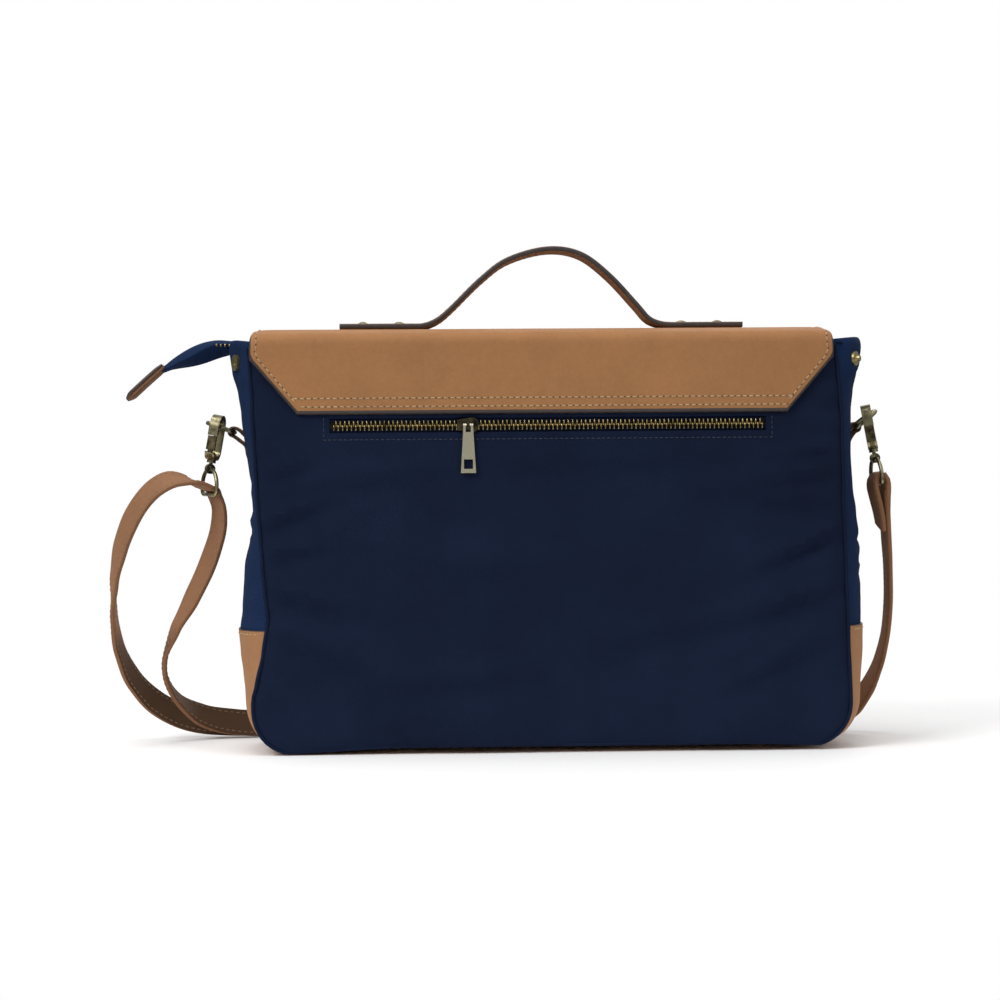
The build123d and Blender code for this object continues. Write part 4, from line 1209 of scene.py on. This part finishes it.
UP = (0, 0, 1)
STRAP_WIDTH = 18.0
STRAP_THICK = 3.2
STRAP_ROUTE = [
    ((-67.8, 70.9, 12.2), UP),
    ((-74, 67.8, 12.2), UP),
    ((-90, 66.6, 11.0), UP),
    ((-115, 66.9, 9.3), UP),
    ((-150, 67.5, 9.2), UP),
    ((-190, 67.8, 9.2), UP),
    ((-214, 65.5, 10.5), (-0.1, 0.25, 1)),
    ((-235, 59, 15.5), (-0.3, 0.5, 0.9)),
    ((-251, 50, 27), (-0.3, 0.8, 0.6)),
    ((-259, 41, 43), (-0.15, 1, 0.25)),
    ((-258, 32, 60), (-0.1, 1, 0)),
    ((-250, 23, 79), (-0.35, 0.9, 0)),
    ((-238, 14, 100), (-0.55, 0.8, 0)),
    ((-227, 5, 122), (-0.6, 0.8, 0)),
    ((-219.5, -3, 143), (-0.55, 0.83, 0)),
    ((-217.9, -8, 158), (-0.5, 0.866, 0)),
    ((-220.8, -9.0, 167.8), (-0.5, 0.866, 0)),
    ((-221.9, -9.6, 171.2), (-0.5, 0.866, 0)),
    ((-224.2, -10.9, 172.1), (-0.5, 0.866, 0)),
    ((-230.5, -14, 175.0), (-0.52, 0.85, 0)),
    ((-241, -17, 178.0), (-0.5, 0.8, 0.35)),
    ((-253, -16, 176.5), (-0.4, 0.75, 0.5)),
    ((-265, -11, 168), (-0.5, 0.75, 0.4)),
    ((-276, -4, 153), (-0.55, 0.75, 0.3)),
    ((-284.5, 5, 134), (-0.5, 0.8, 0.2)),
    ((-290, 14, 112), (-0.3, 0.9, 0.1)),
    ((-292, 25, 88), (0, 1, 0.1)),
    ((-290, 37, 64), (0.15, 1, 0.3)),
    ((-282, 50, 42), (0.25, 0.8, 0.6)),
    ((-267, 62, 24), (0.2, 0.5, 0.9)),
    ((-246, 71, 13), (0.05, 0.2, 1)),
    ((-220, 74.5, 9.3), UP),
    ((-180, 74, 9.2), UP),
    ((-140, 72.5, 9.2), UP),
    ((-105, 71.2, 10.6), UP),
    ((-82.5, 70.5, 12.2), UP),
    ((-76.5, 74.3, 12.2), UP),
    ((-70, 77.1, 12.2), UP),
    ((-63.5, 74.3, 12.2), UP),
    ((-57.5, 70.5, 12.2), UP),
    ((-35, 70.6, 10.6), UP),
    ((0, 71.5, 9.2), UP),
    ((60, 73.5, 9.2), UP),
    ((120, 75, 9.2), UP),
    ((168, 74, 9.3), UP),
    ((196, 70, 10.5), (0, 0.15, 1)),
    ((213, 62, 17), (-0.1, 0.5, 0.85)),
    ((223, 51, 31), (-0.1, 0.85, 0.5)),
    ((228.5, 39, 49), (-0.05, 1, 0.2)),
    ((231, 27, 69), (0, 1, 0.05)),
    ((231, 16, 91), (0, 1, 0)),
    ((229.3, 7, 113), (0, 1, 0)),
    ((226.8, -1, 134), (-0.05, 1, 0)),
    ((224.6, -7, 152), (-0.1, 1, 0)),
    ((224.0, -10, 162), (-0.14, 0.99, 0)),
    ((224.2, -10.9, 169), (-0.14, 0.99, 0)),
    ((223.7, -10.9, 174.3), (-0.14, 0.99, 0)),
    ((222.0, -10.9, 177.4), (-0.14, 0.99, 0)),
    ((219.8, -10.9, 178.3), (-0.14, 0.99, 0)),
    ((217.5, -10.9, 177.2), (-0.14, 0.99, 0)),
    ((216.1, -10.9, 174.0), (-0.14, 0.99, 0)),
    ((216.0, -10.9, 169), (-0.14, 0.99, 0)),
    ((218.0, -10.4, 161), (-0.14, 0.99, 0)),
    ((220.6, -8.2, 151), (-0.1, 1, 0)),
    ((222.1, -5.4, 143), (-0.05, 1, 0)),
]


def make_strap():
    """Shoulder strap from the slide through the left ring, behind the bag, to its fold in the right ring."""
    places = band_places(STRAP_ROUTE, 2.4)
    strap = make_band("shoulder_strap_leather", places, STRAP_WIDTH, STRAP_THICK - 0.2,
                      [strap_suede, strap_edge])
    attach(strap, "root")
    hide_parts("shoulder_strap")
    # painted shade: vertices low down and left of x -150, where the loops lie in shadow on the floor, are
    # marked for the darker tone
    marks = strap.data.attributes.new("painted_shade", "FLOAT", "POINT")
    for index, vertex in enumerate(strap.data.vertices):
        place = vertex.co / MM
        low = min(1.0, max(0.0, (84 - place.z) / 24))
        out = min(1.0, max(0.0, (-150 - place.x) / 40))
        marks.data[index].value = low * low * (3 - 2 * low) * out
    inset = STRAP_WIDTH / 2 - 2.6
    seam = stitches("strap_stitching", band_runs(places[4:-2], inset, STRAP_THICK / 2 - 0.05),
                    strap_thread, length=2.9, width=0.7)
    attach(seam, "root")


HANDLE_ARCH = [(-64, 289.6), (-44, 309), (-26, 322), (0, 329), (22, 325.6), (41, 311.5), (59, 292)]


def make_handle():
    """Top handle: leather strap with painted edges and two stitched feet."""
    width = HANDLE_HIGH.y - HANDLE_LOW.y
    foot = HANDLE_LOW.z + LEATHER / 2
    route = [(HANDLE_LOW.x, foot), (-124, foot), (-106, foot), (-92, foot), (-82, foot + 0.3),
             (-73, foot + 3.8)]
    route += HANDLE_ARCH + [(67, foot + 4.4), (75, foot + 0.8), (84, foot), (98, foot), (116, foot),
                            (HANDLE_HIGH.x, foot)]
    places = band_places([((x, 0, z), (0, -1, 0)) for x, z in route], 2.2)
    handle = make_band("handle_leather", places, width, LEATHER, [strap_suede, handle_paint])
    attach(handle, "flap_top")
    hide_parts("handle_strap")
    seam = stitches("handle_stitching", band_runs(places[2:-2], width / 2 - 3.0, LEATHER / 2 - 0.12),
                    tan_thread, width=0.7)
    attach(seam, "flap_top")


# ---- zips -----------------------------------------------------------------------------------------
TOOTH_PITCH = 2.83
TOOTH_OUTLINE = ((0.4, 3.3), (0.42, 1.5), (0.4, 1.1), (0.66, 0.5), (0.5, -0.35), (0.0, -0.6),
                 (-0.5, -0.35), (-0.66, 0.5), (-0.4, 1.1), (-0.42, 1.5), (-0.4, 3.3))


def tooth_rows(name, starts, stop, place, sides=(-1, 1)):
    """Detailed zip teeth. place(x, across, up) maps a tooth's own axes to the bag."""
    points = []
    faces = []
    layers = ((-1.35, 0.78), (-1.0, 1.0), (1.0, 1.0), (1.35, 0.78))
    count = len(TOOTH_OUTLINE)
    for side, start in zip(sides, starts):
        x = start
        while x < stop:
            base = len(points)
            for height, shrink in layers:
                for along, across in TOOTH_OUTLINE:
                    middle = 1.6
                    reach = middle + (across - middle) * (0.5 + shrink / 2)
                    points.append(place(x + along * shrink, side * reach, height))
            for layer in range(len(layers) - 1):
                for corner in range(count):
                    beside = (corner + 1) % count
                    first = base + layer * count
                    cell = (first + corner, first + beside, first + count + beside, first + count + corner)
                    faces.append(cell if side > 0 else tuple(reversed(cell)))
            bottom = tuple(range(base, base + count))
            top = tuple(range(base + 3 * count, base + 4 * count))
            faces += [tuple(reversed(bottom)), top] if side > 0 else [bottom, tuple(reversed(top))]
            x += TOOTH_PITCH
    piece = make_object(name, points, faces, [zip_brass])
    return piece


def dice(name, node, size, material, waves=0.0, rounding=0.0, span=30.0):
    """Copy of a soft CAD node, cut into small cells so that it can wave like cloth."""
    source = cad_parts[node]
    cut = bmesh.new()
    cut.from_mesh(source.data)
    bmesh.ops.remove_doubles(cut, verts=cut.verts, dist=0.00001)
    bmesh.ops.dissolve_limit(cut, angle_limit=math.radians(1), verts=cut.verts, edges=cut.edges)
    low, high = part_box(node)
    for axis in range(3):
        normal = Vector((0, 0, 0))
        normal[axis] = 1.0
        for value in steps(low[axis], high[axis], size * MM)[1:-1]:
            at = Vector((0, 0, 0))
            at[axis] = value
            everything = cut.verts[:] + cut.edges[:] + cut.faces[:]
            bmesh.ops.bisect_plane(cut, geom=everything, plane_co=at, plane_no=normal)
    for vertex in cut.verts:
        x, y, z = vertex.co / MM / span
        shift = Vector((ripple(x, y, z, 1.0), ripple(x, y, z, 2.0), ripple(x, y, z, 3.0)))
        vertex.co += shift * waves * MM
    mesh = bpy.data.meshes.new(name)
    cut.to_mesh(mesh)
    cut.free()
    mesh.materials.clear()
    mesh.materials.append(material)
    mesh.polygons.foreach_set("material_index", [0] * len(mesh.polygons))
    mesh.polygons.foreach_set("use_smooth", [True] * len(mesh.polygons))
    piece = bpy.data.objects.new(name, mesh)
    bpy.context.scene.collection.objects.link(piece)
    if rounding:
        round_edges(piece, rounding)
    return piece


def make_back_zip():
    """Tape and interlocked teeth of the back pocket's zip."""
    teeth_low, teeth_high = box_mm("back_zip_teeth")
    centre_y = (teeth_low.y + teeth_high.y) / 2
    centre_z = (teeth_low.z + teeth_high.z) / 2

    def place(x, across, up):
        return Vector((x, centre_y - up, centre_z + across))

    starts = (teeth_low.x + 1.5, teeth_low.x + 1.5 + TOOTH_PITCH / 2)
    teeth = tooth_rows("back_zip_chain", starts, teeth_high.x - 1, place)
    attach(teeth, "root")
    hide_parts("back_zip_teeth")
    half = (TAPE_HIGH.z - TAPE_LOW.z) / 2
    for side, label in ((1, "upper"), (-1, "lower")):
        rows = []
        for across in merged([2.0, 2.6, 3.2, 3.9, 4.8, 6.0, half + 2.0]):
            bead = 0.75 * math.exp(-((across - 3.0) / 0.7) ** 2)
            row = []
            for x in steps(TAPE_LOW.x - 2, TAPE_HIGH.x + 2, 3.0):
                sag = 0.25 * ripple(x * 0.05, across, side)
                row.append(Vector((x, centre_y + 0.4 - bead + sag, centre_z + side * across)))
            rows.append(row)
        tape = thick_sheet(f"back_zip_tape_{label}", rows, 0.6, [tape_cloth, tape_cloth, tape_cloth],
                           flip=side < 0)
        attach(tape, "root")
        if side > 0:
            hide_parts("back_zip_tape")


def make_mouth():
    """Cloth wings, fixed ends and teeth of the mouth's zip, and the facings beside them."""
    for label, side in (("back", -1), ("front", 1)):
        wing = dice(f"mouth_cloth_{label}", f"wing_{label}", 6.0, twill, waves=0.6, rounding=0.1)
        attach(wing, f"wing_{label}")
        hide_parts(f"wing_{label}")
        low, high = box_mm(f"wing_teeth_{label}")
        height = (low.z + high.z) / 2
        shift = 1.5 if side < 0 else 1.5 + TOOTH_PITCH / 2
        teeth = tooth_rows(f"mouth_chain_{label}", (low.x + shift,), high.x - 0.6,
                           lambda x, across, up: Vector((x, across, height + up)), sides=(side,))
        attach(teeth, f"wing_{label}")
        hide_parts(f"wing_teeth_{label}")
        facing = dice(f"facing_{label}", f"top_facing_{label}", 6.0, twill, waves=0.3)
        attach(facing, "root")
        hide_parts(f"top_facing_{label}")
    low, high = box_mm("main_end_teeth")
    height = (low.z + high.z) / 2
    wing_low, wing_high = box_mm("wing_back")
    ends = (("left", low.x + 1.5, wing_low.x - 3.6), ("right", wing_high.x + 4.5, high.x - 0.6))
    for label, start, stop in ends:
        teeth = tooth_rows(f"mouth_chain_{label}", (start, start + TOOTH_PITCH / 2), stop,
                           lambda x, across, up: Vector((x, across, height + up)))
        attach(teeth, "root")
        if label == "left":
            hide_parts("main_end_teeth")
        cloth = dice(f"mouth_end_{label}", f"zip_end_{label}", 6.0, twill, waves=0.4, rounding=0.1)
        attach(cloth, "root")
        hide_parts(f"zip_end_{label}")


TAIL_STATIONS = (
    # x, top, fold and bottom heights, half depth
    (-203.0, 269.6, 267.4, 261.6, 9.0),
    (-208.0, 269.9, 267.2, 261.0, 9.0),
    (-213.0, 270.4, 267.4, 259.6, 9.2),
    (-219.0, 270.6, 267.2, 257.8, 9.4),
    (-225.0, 269.8, 265.0, 255.6, 9.4),
    (-231.0, 268.2, 262.0, 253.8, 9.2),
    (-237.0, 265.6, 258.6, 252.6, 9.0),
    (-243.0, 262.2, 255.8, 251.8, 8.8),
    (-249.0, 258.0, 252.8, 250.8, 8.6),
    (-255.5, 253.0, 250.2, 248.8, 8.4),
)


def make_tail():
    """Folded end of the mouth's zip with its leather tab."""
    places = smooth_route([Vector(station[1:4]) for station in TAIL_STATIONS], 1.0)
    rows = []
    for heights, position in places:
        low = min(int(position), len(TAIL_STATIONS) - 2)
        share = position - low
        x = TAIL_STATIONS[low][0] + (TAIL_STATIONS[low + 1][0] - TAIL_STATIONS[low][0]) * share
        depth = TAIL_STATIONS[low][4] + (TAIL_STATIONS[low + 1][4] - TAIL_STATIONS[low][4]) * share
        top, fold, bottom = heights
        wave = 0.5 * ripple(x * 0.06, 0, 0)
        outline = [(depth, top - 0.6), (depth * 0.4, top + 0.2 + wave), (0.0, top),
                   (-depth * 0.55, (top + fold) / 2 + 0.9), (-depth, fold + 0.4), (-depth * 1.02, fold - 0.3),
                   (-depth * 0.6, (fold * 1.2 + bottom * 0.8) / 2 - 0.9), (-depth * 0.15, bottom + 0.3),
                   (depth * 0.3, bottom), (depth * 0.8, (top + bottom) / 2 - 1.5)]
        rows.append([Vector((x, y, z)) for y, z in outline])
    points = [point for row in rows for point in row]
    tail = make_object("zip_tail_cloth", points, loft_faces(len(rows), len(rows[0])), [side_twill_painted_light])
    smoother = tail.modifiers.new("smooth", "SUBSURF")
    smoother.levels = 1
    smoother.render_levels = 1
    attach(tail, "root")
    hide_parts("zip_tail")

    def place(x, across, up):
        return Vector((x, -9.7 - up * 0.4, 265.9 + 0.02 * (-x - 209) + across * 0.45))

    teeth = tooth_rows("zip_tail_teeth", (-218.6,), -208.8, place, sides=(1,))
    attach(teeth, "root")
    low, high = box_mm("zip_tail_tab")
    centre = (low + high) / 2
    turn = Euler((0, math.radians(-42), 0)).to_matrix()
    length, depth, thick = 33.0, 18.0, 5.0
    outline = []
    for x in steps(-length / 2, length / 2, 1.5):
        from_tip = x + length / 2
        round_tip = 1.0 if from_tip > 8 else math.sqrt(max(0.05, 1 - ((8 - from_tip) / 8) ** 2))
        outline.append((x, round_tip))
    for label, rise in (("upper", 1.25), ("lower", -1.25)):
        points = []
        section = band_section(depth, thick / 2 - 0.15, 0.1)
        for x, taper in outline:
            puff = 1.0 - 0.25 * math.exp(-((x - length / 2) / 3) ** 2)
            for sideways, height, on_edge in section:
                bow = 0.8 * math.sin(math.pi * (x + length / 2) / length)
                tip = 0.45 + 0.55 * min(1.0, (x + length / 2) / 4.0)
                lift = (height + rise) * puff * tip + bow * 0.3
                points.append(centre + turn @ Vector((x, sideways * taper, lift)))
        faces = loft_faces(len(outline), len(section))
        edge = edge_paint if rise > 0 else rough_side
        leather = make_object(f"zip_tail_tab_{label}", points, faces, [rough_side, edge],
                              edge_marks(section, len(outline)))
        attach(leather, "root")
    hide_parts("zip_tail_tab")


# ---- inside, loops and fittings -------------------------------------------------------------------
def tuck_inside(piece, gap):
    """Keep a piece a little inside the bag's two sides."""
    for vertex in piece.data.vertices:
        place = vertex.co / MM
        side = -1 if place.x < 0 else 1
        share = min(1.0, max(0.0, (place.y - SEAM_BACK_Y) / (SEAM_FRONT_Y - SEAM_BACK_Y)))
        limit = abs(side_point(side, max(0.0, place.z), share).x) - gap
        if abs(place.x) > limit:
            vertex.co.x = side * limit * MM


def make_inside():
    """Woven lining, foam, divider and pockets, waved like cloth."""
    soft = (
        ("lining_pouch", "lining", 9.0, lining_cloth, 1.2, "lining_cloth"),
        ("foam_sheet", "back_foam_pad", 12.0, foam_grey, 0.5, "foam"),
        ("divider_padded", "laptop_divider", 9.0, lining_cloth, 1.0, "lining_cloth"),
        ("slip_pocket", "inner_pocket", 8.0, lining_cloth, 0.7, "lining_cloth"),
        ("pocket_pouch", "back_pocket_bag", 12.0, lining_cloth, 0.3, "lining_cloth"),
    )
    for name, node, size, material, waves, slot in soft:
        piece = dice(name, node, size, material, waves=waves, span=45.0)
        if node == "lining":
            for vertex in piece.data.vertices:
                vertex.co.x *= 0.968                # drawn in off the sides, as a loose pouch hangs
        tuck_inside(piece, 2.8 if node == "lining" else 4.0)
        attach(piece, "root")
        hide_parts(node)


def make_loops():
    """Leather loops that hold the D-rings: a strip up the side, round the ring's bar and back down."""
    for side, label in ((-1, "left"), (1, "right")):
        low, high = box_mm(f"dring_tab_{label}")
        ring_low, ring_high = box_mm(f"dring_{label}")
        bar = (min(abs(ring_low.x), abs(ring_high.x)) + 1.5, ring_low.z + 1.5)

        def wall(z, side=side):
            return abs(side_point(side, z, 0.5).x)

        near = wall(206.0)
        between = (near + bar[0]) / 2
        run = [(near - 3.0, 206.0), (near + 0.4, bar[1] - 2.6), (between, bar[1] + 1.0),
               (bar[0] - 0.7, bar[1] + 2.6),
               (bar[0] + 1.9, bar[1] + 1.8), (bar[0] + 2.7, bar[1]), (bar[0] + 1.9, bar[1] - 1.9),
               (bar[0] - 0.4, bar[1] - 3.0), (between - 0.2, bar[1] - 6.0), (wall(200.0) + 0.9, 200.0),
               (wall(194.0) + 0.2, 194.0), (wall(188.0) - 1.4, 188.0)]
        middle = (low.y + high.y) / 2
        places = band_places([((side * x, middle, z), (0, -1, 0)) for x, z in run], 0.8)
        piece = make_band(f"dring_loop_{label}", places, high.y - low.y, 1.9, [base_suede, edge_paint])
        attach(piece, "root")
        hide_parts(f"dring_tab_{label}")


def dress_fittings():
    """Metal finishes of the frame's own fittings."""
    finishes = {
        antique_brass: ["handle_rivets", "handle_washers", "strap_slide"],
        snap_brass: ["snap_sockets", "snap_studs"],
        slider_metal: ["main_slider", "back_slider"],
        pull_brass: ["main_pull", "back_pull"],
        magnet_steel: ["magnet_sockets", "magnet_studs"],
        dark_brass: [],
    }
    for label in ("left", "right"):
        finishes[antique_brass] += [f"{part}_{label}" for part in ("dring", "ring", "clasp")]
        finishes[dark_brass] += [f"{part}_{label}" for part in ("swivel", "gate", "gate_pin")]
    for material, names in finishes.items():
        for name in names:
            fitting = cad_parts[name]
            fitting.data.materials.clear()
            fitting.data.materials.append(material)


make_camera()
make_stage()
make_back_panel()
make_front_panel()
make_gusset(-1, "gusset_cloth_left", "gusset_left")
make_gusset(1, "gusset_cloth_right", "gusset_right")
make_base()
make_piping()
make_flap()
make_strap()
make_handle()
make_back_zip()
make_mouth()
make_tail()
make_inside()
make_loops()
dress_fittings()
